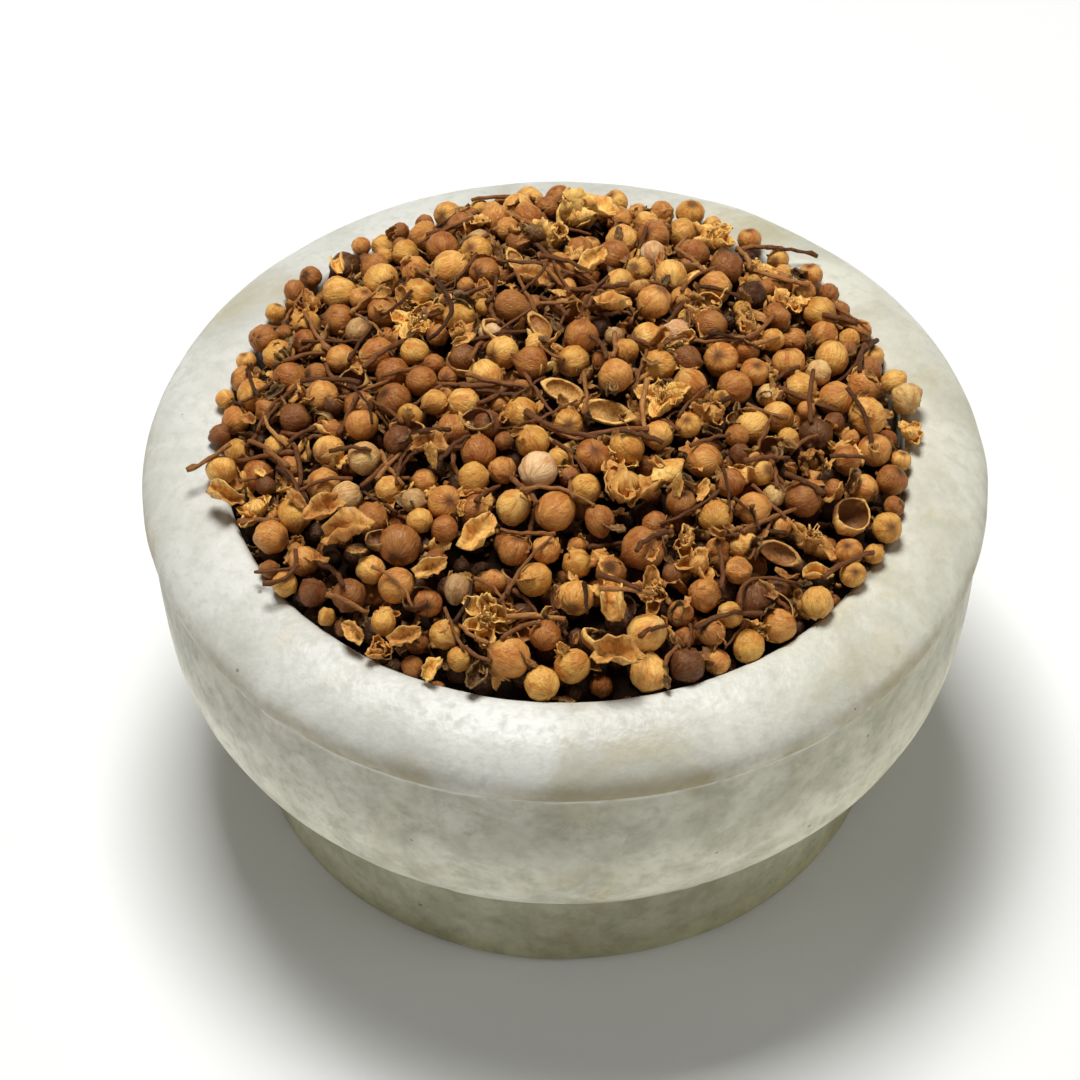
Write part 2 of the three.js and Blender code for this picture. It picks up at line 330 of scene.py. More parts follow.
def select_all() -> None:
    """Goes into edit mode with the whole piece selected."""
    bpy.ops.object.mode_set(mode="EDIT")
    bpy.ops.mesh.select_mode(type="VERT")
    bpy.ops.mesh.select_all(action="SELECT")


def spun_shell(name: str, profile: Sequence[tuple[float, float]], steps: int) -> bpy.types.Object:
    """A closed turned shape: the profile is drawn corner by corner, then spun round the axis.

    Args:
        name: The object's name.
        profile: Points of radius and height, from the axis back to the axis.
        steps: Number of stretches round.

    Returns:
        The new object, with its normals outwards.
    """
    start_fresh()
    bpy.ops.mesh.primitive_plane_add(size=1 * MM, location=(0, 0, 0))
    piece = bpy.context.object
    piece.name = name
    select_all()
    bpy.ops.mesh.merge(type="CENTER")
    first = Vector((profile[0][0], 0, profile[0][1]))
    bpy.ops.transform.translate(value=first)
    for before, after in zip(profile, profile[1:]):
        move = (after[0] - before[0], 0, after[1] - before[1])
        bpy.ops.mesh.extrude_region_move(TRANSFORM_OT_translate={"value": move})
    bpy.ops.mesh.select_all(action="SELECT")
    bpy.ops.mesh.spin(steps=steps, angle=TAU, center=(0, 0, 0), axis=(0, 0, 1))
    bpy.ops.mesh.select_all(action="SELECT")
    bpy.ops.mesh.remove_doubles(threshold=0.01 * MM)
    bpy.ops.mesh.normals_make_consistent(inside=False)
    bpy.ops.object.mode_set(mode="OBJECT")
    return piece


def apply_modifiers(piece: bpy.types.Object) -> None:
    """Applies every modifier of the piece, in order."""
    take(piece)
    for modifier in list(piece.modifiers):
        bpy.ops.object.modifier_apply(modifier=modifier.name)


def corners_of(piece: bpy.types.Object) -> np.ndarray:
    """The places of the piece's corners, one row each."""
    flat = np.empty(len(piece.data.vertices) * 3, np.float32)
    piece.data.vertices.foreach_get("co", flat)
    return flat.reshape(-1, 3).astype(float)


def move_corners(piece: bpy.types.Object, places: np.ndarray) -> None:
    """Puts the piece's corners at these places."""
    piece.data.vertices.foreach_set("co", places.astype(np.float32).ravel())
    piece.data.update()


def keep_values(mesh: bpy.types.Mesh, name: str, values: np.ndarray) -> None:
    """Stores a number, or a row of three, for each corner of a mesh.

    Args:
        mesh: The mesh.
        name: The attribute's name.
        values: One number or one row for each corner.
    """
    kind, key = ("FLOAT", "value") if np.ndim(values) == 1 else ("FLOAT_VECTOR", "vector")
    layer = mesh.attributes.new(name, kind, "POINT")
    layer.data.foreach_set(key, np.asarray(values, np.float32).ravel())


# ---- finishes ----


class Graph:
    """A node tree that is wired up by short calls."""

    def __init__(self, tree: bpy.types.NodeTree) -> None:
        """Keeps the tree that the calls add to."""
        self.tree = tree

    def node(self, kind: str, **settings: object) -> bpy.types.Node:
        """Adds a node and sets its properties."""
        made = self.tree.nodes.new(kind)
        for name, value in settings.items():
            setattr(made, name, value)
        return made

    def feed(self, target: bpy.types.NodeSocket, source: object) -> None:
        """Links source into target, or sets it there where it is a plain value.

        Args:
            target: The input.
            source: An output, a colour or a plain value.
        """
        if isinstance(source, bpy.types.NodeSocket):
            self.tree.links.new(source, target)
        elif isinstance(source, (tuple, list)) and target.type == "RGBA":
            target.default_value = (*source[:3], 1)
        else:
            target.default_value = source

    def group(self, tree: bpy.types.NodeTree, **inputs: object) -> bpy.types.NodeSocket:
        """Places a node group with its own values, and gives its first output.

        Args:
            tree: The group.
            **inputs: What feeds each of its inputs, by name.

        Returns:
            The group's first output.
        """
        made = self.node("ShaderNodeGroup", node_tree=tree)
        for name, value in inputs.items():
            self.feed(made.inputs[name], value)
        return made.outputs[0]

    def texture(self, kind: str, place: object, **inputs: object) -> bpy.types.Node:
        """Adds a texture that is read at this place.

        Args:
            kind: The texture node's type.
            place: Where it is read.
            **inputs: What feeds each of its other inputs, by name.

        Returns:
            The node.
        """
        made = self.node(kind)
        for name, value in {"Vector": place, **inputs}.items():
            self.feed(made.inputs[name], value)
        return made

    def mix(self, share: object, first: object, second: object,
            blend: str = "MIX") -> bpy.types.NodeSocket:
        """Mixes two colours; share 0 gives the first.

        Args:
            share: How much of the second colour, 0 to 1.
            first: The first colour.
            second: The second colour.
            blend: How they are mixed.

        Returns:
            The mixed colour.
        """
        made = self.node("ShaderNodeMix", data_type="RGBA", blend_type=blend)
        for socket, value in zip((made.inputs[0], made.inputs[6], made.inputs[7]),
                                 (share, first, second)):
            self.feed(socket, value)
        return made.outputs[2]

    def maths(self, operation: str, first: object, second: object = 0.0,
              clamp: bool = False) -> bpy.types.NodeSocket:
        """One sum on two values.

        Args:
            operation: The sum, as Blender names it.
            first: The first value.
            second: The second value.
            clamp: Whether the result is kept from 0 to 1.

        Returns:
            The result.
        """
        made = self.node("ShaderNodeMath", operation=operation, use_clamp=clamp)
        self.feed(made.inputs[0], first)
        self.feed(made.inputs[1], second)
        return made.outputs[0]

    def times(self, first: object, second: object, clamp: bool = False) -> bpy.types.NodeSocket:
        """One value times the other."""
        return self.maths("MULTIPLY", first, second, clamp)

    def scaled(self, value: object, factor: float, base: float) -> bpy.types.NodeSocket:
        """The value times a factor, on top of a base."""
        made = self.maths("MULTIPLY_ADD", value, factor)
        made.node.inputs[2].default_value = base
        return made

    def tint(self, colour: object, share: object, tone: object) -> bpy.types.NodeSocket:
        """Multiplies a colour by a tone, where share is above 0."""
        return self.mix(share, colour, tone, "MULTIPLY")

    def span(self, value: object, low: float, high: float) -> bpy.types.NodeSocket:
        """A smooth mask that is 0 where value is at low and 1 where it is at high.

        Args:
            value: What is measured.
            low: Where the mask is 0.
            high: Where the mask is 1.

        Returns:
            The mask.
        """
        made = self.node("ShaderNodeMapRange", interpolation_type="SMOOTHSTEP")
        self.feed(made.inputs["Value"], value)
        made.inputs["From Min"].default_value = low
        made.inputs["From Max"].default_value = high
        return made.outputs["Result"]

    def bump(self, height: object, strength: float, distance: float) -> bpy.types.NodeSocket:
        """Turns a height into a bent normal.

        Args:
            height: The height.
            strength: How strongly it shows, 0 to 1.
            distance: What a height of 1 stands for, in metres.

        Returns:
            The bent normal.
        """
        made = self.node("ShaderNodeBump")
        made.inputs["Strength"].default_value = strength
        made.inputs["Distance"].default_value = distance
        self.feed(made.inputs["Height"], height)
        return made.outputs["Normal"]


def new_group(name: str, inputs: dict[str, tuple[str, object]],
              outputs: dict[str, str]) -> tuple[Graph, dict, dict]:
    """Starts a shader node group.

    Args:
        name: The group's name.
        inputs: Each input's name, with its socket type and default.
        outputs: Each output's name, with its socket type.

    Returns:
        The graph, its input sockets and its output sockets, by name.
    """
    tree = bpy.data.node_groups.new(name, "ShaderNodeTree")
    for title, (kind, default) in inputs.items():
        socket = tree.interface.new_socket(name=title, in_out="INPUT", socket_type=kind)
        if default is not None:
            socket.default_value = default
    for title, kind in outputs.items():
        tree.interface.new_socket(name=title, in_out="OUTPUT", socket_type=kind)
    graph = Graph(tree)
    entry = graph.node("NodeGroupInput")
    leave = graph.node("NodeGroupOutput", is_active_output=True)
    return graph, dict(entry.outputs.items()), dict(leave.inputs.items())


class Effects:
    """Shader node groups that more than one finish uses, each built once."""

    def __init__(self) -> None:
        """Builds the groups."""
        self.blotches = self.build_blotches()
        self.pits = self.build_pits()
        self.grain = self.build_grain()

    @staticmethod
    def build_blotches() -> bpy.types.NodeTree:
        """Soft-edged patches: a mask from noise, cut between two levels.

        Returns:
            The group's node tree.
        """
        graph, given, out = new_group(
            "blotches",
            {"Vector": ("NodeSocketVector", None), "Scale": ("NodeSocketFloat", 50.0),
             "Low": ("NodeSocketFloat", 0.4), "High": ("NodeSocketFloat", 0.6),
             "Warp": ("NodeSocketFloat", 0.3)},
            {"Mask": "NodeSocketFloat"})
        cloud = graph.texture("ShaderNodeTexNoise", given["Vector"], Scale=given["Scale"],
                              Detail=5, Roughness=0.6, Distortion=given["Warp"])
        cut = graph.node("ShaderNodeMapRange", interpolation_type="SMOOTHSTEP")
        graph.feed(cut.inputs["Value"], cloud.outputs["Fac"])
        graph.feed(cut.inputs["From Min"], given["Low"])
        graph.feed(cut.inputs["From Max"], given["High"])
        graph.feed(out["Mask"], cut.outputs["Result"])
        return graph.tree

    @staticmethod
    def build_pits() -> bpy.types.NodeTree:
        """Small round pits or specks, scattered unevenly: 1 in a pit's middle.

        Returns:
            The group's node tree.
        """
        graph, given, out = new_group(
            "pits",
            {"Vector": ("NodeSocketVector", None), "Scale": ("NodeSocketFloat", 300.0),
             "Size": ("NodeSocketFloat", 0.3), "Share": ("NodeSocketFloat", 0.3)},
            {"Mask": "NodeSocketFloat"})
        cells = graph.texture("ShaderNodeTexVoronoi", given["Vector"], Scale=given["Scale"])
        split = graph.node("ShaderNodeSeparateColor")
        graph.feed(split.inputs["Color"], cells.outputs["Color"])
        there = graph.maths("LESS_THAN", split.outputs[0], given["Share"])
        size = graph.times(given["Size"], split.outputs[1])
        near = graph.maths("SUBTRACT", size, cells.outputs["Distance"])
        depth = graph.maths("DIVIDE", near, size, clamp=True)
        graph.feed(out["Mask"], graph.times(there, depth))
        return graph.tree

    @staticmethod
    def build_grain() -> bpy.types.NodeTree:
        """A fine rough height over a coarser one, for bumps.

        Returns:
            The group's node tree.
        """
        graph, given, out = new_group(
            "grain",
            {"Vector": ("NodeSocketVector", None), "Scale": ("NodeSocketFloat", 900.0),
             "Coarse": ("NodeSocketFloat", 0.5)},
            {"Height": "NodeSocketFloat"})
        fine = graph.texture("ShaderNodeTexNoise", given["Vector"], Scale=given["Scale"], Detail=3)
        wide = graph.texture("ShaderNodeTexNoise", given["Vector"],
                             Scale=graph.times(given["Scale"], 0.22), Detail=2)
        coarse = graph.times(wide.outputs["Fac"], given["Coarse"])
        graph.feed(out["Height"], graph.maths("ADD", fine.outputs["Fac"], coarse))
        return graph.tree


def new_material(name: str) -> tuple[bpy.types.Material, Graph, bpy.types.Node]:
    """Starts a material, and returns it with its graph and its Principled shader."""
    material = bpy.data.materials.new(name)
    material.use_nodes = True
    graph = Graph(material.node_tree)
    return material, graph, material.node_tree.nodes["Principled BSDF"]


@dataclass(frozen=True)
class Patches:
    """Soft-edged patches: how fine, between which levels the noise is cut, and how warped."""

    scale: float
    low: float
    high: float
    warp: float

    def mask(self, graph: Graph, effects: Effects, place: object) -> bpy.types.NodeSocket:
        """Adds the patches to a material.

        Args:
            graph: The material's graph.
            effects: The shared node groups.
            place: Where the noise is read.

        Returns:
            The mask.
        """
        return graph.group(effects.blotches, Vector=place, Scale=self.scale, Low=self.low,
                           High=self.high, Warp=self.warp)


@dataclass(frozen=True)
class MarbleFinish:
    """White-grey marble, cloudy and crystalline, stained on top and soiled above the ridge, with painted
    shade and painted floor bounce on the belly and a darker foot.
    """

    light: tuple[float, float, float] = (0.635, 0.63, 0.57)
    cloud: tuple[float, float, float] = (0.475, 0.47, 0.405)
    glint: tuple[float, float, float] = (0.76, 0.75, 0.70)
    stain: tuple[float, float, float] = (0.90, 0.83, 0.64)
    yellowed: tuple[float, float, float] = (1.04, 1.025, 0.94)
    belly_top_shade: tuple[float, float, float] = (0.86, 0.85, 0.76)
    lower: tuple[float, float, float] = (1.30, 1.29, 1.17)
    mottle: tuple[float, float, float] = (0.60, 0.60, 0.54)
    foot: tuple[float, float, float] = (0.57, 0.57, 0.50)
    hem: tuple[float, float, float] = (0.84, 0.82, 0.66)
    ridge_highlight: tuple[float, float, float] = (0.60, 0.59, 0.52)
    dirt: tuple[float, float, float] = (0.68, 0.61, 0.43)
    crack: tuple[float, float, float] = (0.50, 0.40, 0.28)
    speck: tuple[float, float, float] = (0.16, 0.11, 0.06)
    clouds: Patches = Patches(48.0, 0.38, 0.68, 0.6)
    flecks: Patches = Patches(460.0, 0.45, 0.70, 0.2)
    mottling: Patches = Patches(150.0, 0.38, 0.66, 0.3)
    cracked: Patches = Patches(60.0, 0.50, 0.62, 0.4)
    stains: Patches = Patches(46.0, 0.52, 0.70, 0.4)
    soiling: Patches = Patches(44.0, 0.36, 0.58, 0.4)
    highlight_breaks: Patches = Patches(160.0, 0.35, 0.55, 0.5)
    crystal_scale: float = 850.0
    glint_depth: float = 0.14
    fleck_depth: float = 0.6
    mottle_depth: float = 0.6
    stain_depth: float = 0.7
    speck_depth: float = 0.6
    crack_level: float = 0.56
    crack_width: float = 0.03
    roughness: float = 0.42
    gloss: float = 0.45

    def build(self, effects: Effects, form: BowlForm) -> bpy.types.Material:
        """Builds the material.

        Args:
            effects: The shared node groups.
            form: The bowl's measures, for the heights where the dirt lies.

        Returns:
            The material.
        """
        material, graph, shader = new_material("white_marble")
        place = graph.node("ShaderNodeTexCoord").outputs["Object"]
        axes = graph.node("ShaderNodeSeparateXYZ")
        graph.feed(axes.inputs[0], place)
        height = axes.outputs["Z"]
        ridge_z = form.ridge_z
        flecks = self.flecks.mask(graph, effects, place)
        lowered = graph.span(height, ridge_z, ridge_z - 1.5 * MM)
        cracks = self.cracks(graph, effects, place, lowered)
        pits = graph.group(effects.pits, Vector=place, Scale=330.0, Size=0.16, Share=0.12)
        pits = graph.times(pits, 2.5, clamp=True)

        colour = self.stone(graph, effects, place, flecks)
        # Painted light below the ridge: painted shade under the lip's overhang at the belly's top, fading
        # into painted bounce light from the floor lower down.
        by_depth = graph.span(height, ridge_z - 8 * MM, form.skirt_z + 6 * MM)
        colour = graph.tint(colour, lowered, graph.mix(by_depth, self.belly_top_shade, self.lower))
        mottled = graph.times(self.mottling.mask(graph, effects, place),
                              graph.times(lowered, self.mottle_depth))
        colour = graph.tint(colour, mottled, self.mottle)
        colour = graph.tint(colour, cracks, self.crack)
        # The foot is darker: partly the stone's own tint, partly painted shade under the skirt. It grows
        # darker and yellower towards its bottom.
        footed = graph.span(height, form.skirt_z, form.foot_top_z - 1 * MM)
        colour = graph.tint(colour, footed, self.foot)
        colour = graph.tint(colour, graph.span(height, 9 * MM, 0.5 * MM), self.hem)
        stains = graph.times(self.stains.mask(graph, effects, place), self.stain_depth)
        colour = graph.tint(colour, stains, self.stain)
        rightward = graph.span(axes.outputs["X"], -10 * MM, 62 * MM)
        colour = graph.tint(colour, rightward, self.yellowed)
        band = graph.times(graph.span(height, ridge_z + 6 * MM, ridge_z + 0.8 * MM),
                           graph.span(height, ridge_z + 0.1 * MM, ridge_z + 0.9 * MM))
        soiled = graph.scaled(self.soiling.mask(graph, effects, place), 0.95, 0.25)
        colour = graph.tint(colour, graph.times(band, soiled), self.dirt)
        # Painted highlight: a lighter line along the ridge's edge, broken in patches.
        ridge = graph.times(graph.span(height, ridge_z + 0.7 * MM, ridge_z + 0.3 * MM),
                            graph.span(height, ridge_z - 0.8 * MM, ridge_z - 0.4 * MM))
        lit_ridge = graph.times(ridge, self.highlight_breaks.mask(graph, effects, place))
        colour = graph.mix(lit_ridge, colour, self.ridge_highlight)
        colour = graph.mix(graph.times(pits, self.speck_depth), colour, self.speck)

        graph.feed(shader.inputs["Base Color"], colour)
        graph.feed(shader.inputs["Roughness"], graph.scaled(flecks, 0.14, self.roughness))
        shader.inputs["Specular IOR Level"].default_value = self.gloss
        relief = graph.group(effects.grain, Vector=place, Scale=900.0, Coarse=0.7)
        sunk = graph.maths("SUBTRACT", relief, graph.times(pits, 2.0))
        sunk = graph.maths("SUBTRACT", sunk, cracks)
        graph.feed(shader.inputs["Normal"], graph.bump(sunk, 0.5, 0.25 * MM))
        return material

    def stone(self, graph: Graph, effects: Effects, place: bpy.types.NodeSocket,
              flecks: bpy.types.NodeSocket) -> bpy.types.NodeSocket:
        """The clean stone: cloudy, with glinting crystals and darker flecks.

        Args:
            graph: The material's graph.
            effects: The shared node groups.
            place: The place on the bowl.
            flecks: The mask of the flecks.

        Returns:
            The colour.
        """
        colour = graph.mix(self.clouds.mask(graph, effects, place), self.light, self.cloud)
        crystals = graph.texture("ShaderNodeTexVoronoi", place, Scale=self.crystal_scale)
        sparkle = graph.node("ShaderNodeSeparateColor")
        graph.feed(sparkle.inputs["Color"], crystals.outputs["Color"])
        glint = graph.times(sparkle.outputs[0], self.glint_depth)
        colour = graph.mix(glint, colour, self.glint)
        return graph.mix(graph.times(flecks, self.fleck_depth), colour, self.cloud)

    def cracks(self, graph: Graph, effects: Effects, place: bpy.types.NodeSocket,
               lowered: bpy.types.NodeSocket) -> bpy.types.NodeSocket:
        """Faint wandering scratches, in patches, stronger below the ridge.

        Args:
            graph: The material's graph.
            effects: The shared node groups.
            place: The place on the bowl.
            lowered: The mask of what lies below the ridge.

        Returns:
            Their mask.
        """
        wander = graph.texture("ShaderNodeTexNoise", place, Scale=170.0, Detail=7, Roughness=0.65)
        off_line = graph.maths("SUBTRACT", wander.outputs["Fac"], self.crack_level)
        off_line = graph.maths("ABSOLUTE", off_line)
        lines = graph.times(graph.span(off_line, self.crack_width, 0.0),
                            self.cracked.mask(graph, effects, place))
        return graph.times(lines, graph.scaled(lowered, 0.14, 0.06))


@dataclass(frozen=True)
class PlantFinish:
    """Dried plant skin. Each piece has its own tone, from the first colour to the last.

    The pieces carry three attributes: tone, one value for each piece; skin, the place on the
    piece in its own size; and shade, above 0 towards the dark colour on a scar, a neck or a dried-in side
    and as painted shade in a hole, a husk's inside and the core, below 0 towards the pale colour on an
    edge or a tip.
    """

    name: str
    tones: tuple[tuple[float, float, float], ...]
    dark_and_shade: tuple[float, float, float]
    bloom: tuple[float, float, float]
    edge: tuple[float, float, float] = (0.80, 0.60, 0.34)
    patches: Patches = Patches(1.05, 0.40, 0.62, 0.7)
    spots: Patches = Patches(3.4, 0.42, 0.72, 0.8)
    streaks: float = 12.0
    streak_depth: float = 0.34
    mottle: float = 0.9
    spot_depth: float = 0.26
    dotted: float = 0.10
    dot_depth: float = 0.75
    roughness: float = 0.36
    gloss: float = 0.3
    relief: float = 0.65

    def build(self, effects: Effects) -> bpy.types.Material:
        """Builds the material.

        Args:
            effects: The shared node groups.

        Returns:
            The material.
        """
        material, graph, shader = new_material(self.name)
        skin = graph.node("ShaderNodeAttribute", attribute_name="skin").outputs["Vector"]
        shade = graph.node("ShaderNodeAttribute", attribute_name="shade").outputs["Fac"]
        patches = graph.times(self.patches.mask(graph, effects, skin), self.mottle)
        colour = graph.tint(self.row_of_tones(graph), patches, self.bloom)
        spots = graph.times(self.spots.mask(graph, effects, skin), self.spot_depth)
        colour = graph.mix(spots, colour, self.edge)
        drawn = graph.node("ShaderNodeVectorMath", operation="MULTIPLY")
        graph.feed(drawn.inputs[0], skin)
        drawn.inputs[1].default_value = (1, 1, 0.22)
        lines = graph.texture("ShaderNodeTexNoise", drawn.outputs[0], Scale=self.streaks, Detail=3)
        dark_lines = graph.times(graph.span(lines.outputs["Fac"], 0.45, 0.7), self.streak_depth)
        colour = graph.tint(colour, dark_lines, self.dark_and_shade)
        dots = graph.group(effects.pits, Vector=skin, Scale=5.0, Size=0.3, Share=self.dotted)
        colour = graph.mix(graph.times(dots, self.dot_depth), colour, self.dark_and_shade)
        # Shade above 0 darkens: scars, necks and dried-in sides in their own dark colour, and painted
        # shade in holes, husk insides and the core.
        colour = graph.mix(graph.times(shade, 1.0, clamp=True), colour, self.dark_and_shade)
        colour = graph.mix(graph.times(shade, -1.0, clamp=True), colour, self.edge)
        graph.feed(shader.inputs["Base Color"], colour)
        shader.inputs["Roughness"].default_value = self.roughness
        shader.inputs["Specular IOR Level"].default_value = self.gloss
        shader.inputs["Specular Tint"].default_value = (1.0, 0.82, 0.58, 1)
        rough = graph.group(effects.grain, Vector=skin, Scale=8.0, Coarse=1.6)
        height = graph.maths("SUBTRACT", rough, graph.times(lines.outputs["Fac"], 0.5))
        graph.feed(shader.inputs["Normal"], graph.bump(height, self.relief, 0.3 * MM))
        return material

    def row_of_tones(self, graph: Graph) -> bpy.types.NodeSocket:
        """The colour of a piece, looked up by its tone.

        Args:
            graph: The material's graph.

        Returns:
            The colour.
        """
        tone = graph.node("ShaderNodeAttribute", attribute_name="tone").outputs["Fac"]
        ramp = graph.node("ShaderNodeValToRGB")
        graph.feed(ramp.inputs[0], tone)
        stops = ramp.color_ramp.elements
        while len(stops) < len(self.tones):
            stops.new(0.5)
        for i, colour in enumerate(self.tones):
            stops[i].position = i / (len(self.tones) - 1)
            stops[i].color = (*colour, 1)
        return ramp.outputs[0]


# ---- shapes of single pieces, each modelled once at a radius of 1 ----


@dataclass
class Shape:
    """A modelled piece as plain arrays, with the shade and the place in the skin's pattern."""

    corners: np.ndarray
    loops: np.ndarray
    sizes: np.ndarray
    shade: np.ndarray
    grain: np.ndarray

    @staticmethod
    def taken_from(piece: bpy.types.Object,
                   shade: Optional[Callable[[np.ndarray], np.ndarray]] = None,
                   ribbed: bool = False) -> "Shape":
        """Reads a modelled object into arrays and removes the object.

        Args:
            piece: The object, which is used up.
            shade: Gives the shade from the corners; None takes the object's own, if it has any.
            ribbed: Whether its pattern runs from pole to pole.

        Returns:
            The shape.
        """
        start_fresh()
        mesh = piece.data
        loops = np.empty(len(mesh.loops), np.int32)
        mesh.loops.foreach_get("vertex_index", loops)
        sizes = np.empty(len(mesh.polygons), np.int32)
        mesh.polygons.foreach_get("loop_total", sizes)
        corners = corners_of(piece)
        dark = np.zeros(len(corners))
        if shade is not None:
            dark = np.clip(shade(corners), -1, 1)
        elif "shade" in mesh.attributes:
            mesh.attributes["shade"].data.foreach_get("value", dark)
        bpy.data.objects.remove(piece)
        bpy.data.meshes.remove(mesh)
        grain = corners.copy()
        if ribbed:
            grain[:, :2] /= np.maximum(np.hypot(corners[:, 0], corners[:, 1]), 0.12)[:, None]
            grain[:, 2] *= 0.9
        return Shape(corners, loops, sizes, dark, grain)

    @staticmethod
    def joined(parts: Sequence["Shape"]) -> "Shape":
        """Several shapes as one.

        Args:
            parts: The shapes, in order.

        Returns:
            The joined shape.
        """
        starts = np.cumsum([0] + [len(part.corners) for part in parts[:-1]])
        return Shape(
            np.concatenate([part.corners for part in parts]),
            np.concatenate([part.loops + start for part, start in zip(parts, starts)]),
            np.concatenate([part.sizes for part in parts]),
            np.concatenate([part.shade for part in parts]),
            np.concatenate([part.grain for part in parts]),
        )

    def moved(self, turn: Matrix, shift: Sequence[float] = (0, 0, 0), size: float = 1.0) -> "Shape":
        """A copy that is sized, turned and shifted."""
        corners = self.corners * size @ np.array(turn.to_3x3()).T + np.array(shift)
        return Shape(corners, self.loops, self.sizes, self.shade, self.grain)


def tube(path: Sequence[Vector], radii: Sequence[float], sides: int) -> Shape:
    """A closed round stem along a path.

    Args:
        path: Points of its middle line.
        radii: Its radius at each point.
        sides: Number of sides.

    Returns:
        The shape, in place.
    """
    rings = []
    for i, point in enumerate(path):
        ahead = path[min(i + 1, len(path) - 1)] - path[max(i - 1, 0)]
        across = ahead.to_track_quat("Z", "Y").to_matrix()
        for side in range(sides):
            angle = TAU * side / sides
            rings.append(point + across @ Vector((math.cos(angle), math.sin(angle), 0)) * radii[i])
    loops, sizes = [], []
    for i in range(len(path) - 1):
        for side in range(sides):
            a, b = i * sides + side, i * sides + (side + 1) % sides
            loops += [a, b, b + sides, a + sides]
            sizes.append(4)
    last = (len(path) - 1) * sides
    for side in range(sides):
        after = (side + 1) % sides
        loops += [len(rings), after, side, len(rings) + 1, last + side, last + after]
        sizes += [3, 3]
    corners = np.array([*rings, path[0], path[-1]])
    angles = np.tile(np.arange(sides), len(path)) * TAU / sides
    along = np.repeat(np.arange(len(path)), sides) * 1.2
    grain = np.column_stack([np.cos(angles), np.sin(angles), along])
    grain = np.concatenate([grain, [[0, 0, 0], [0, 0, along[-1]]]])
    return Shape(corners, np.array(loops, np.int32), np.array(sizes, np.int32),
                 np.zeros(len(corners)), grain)


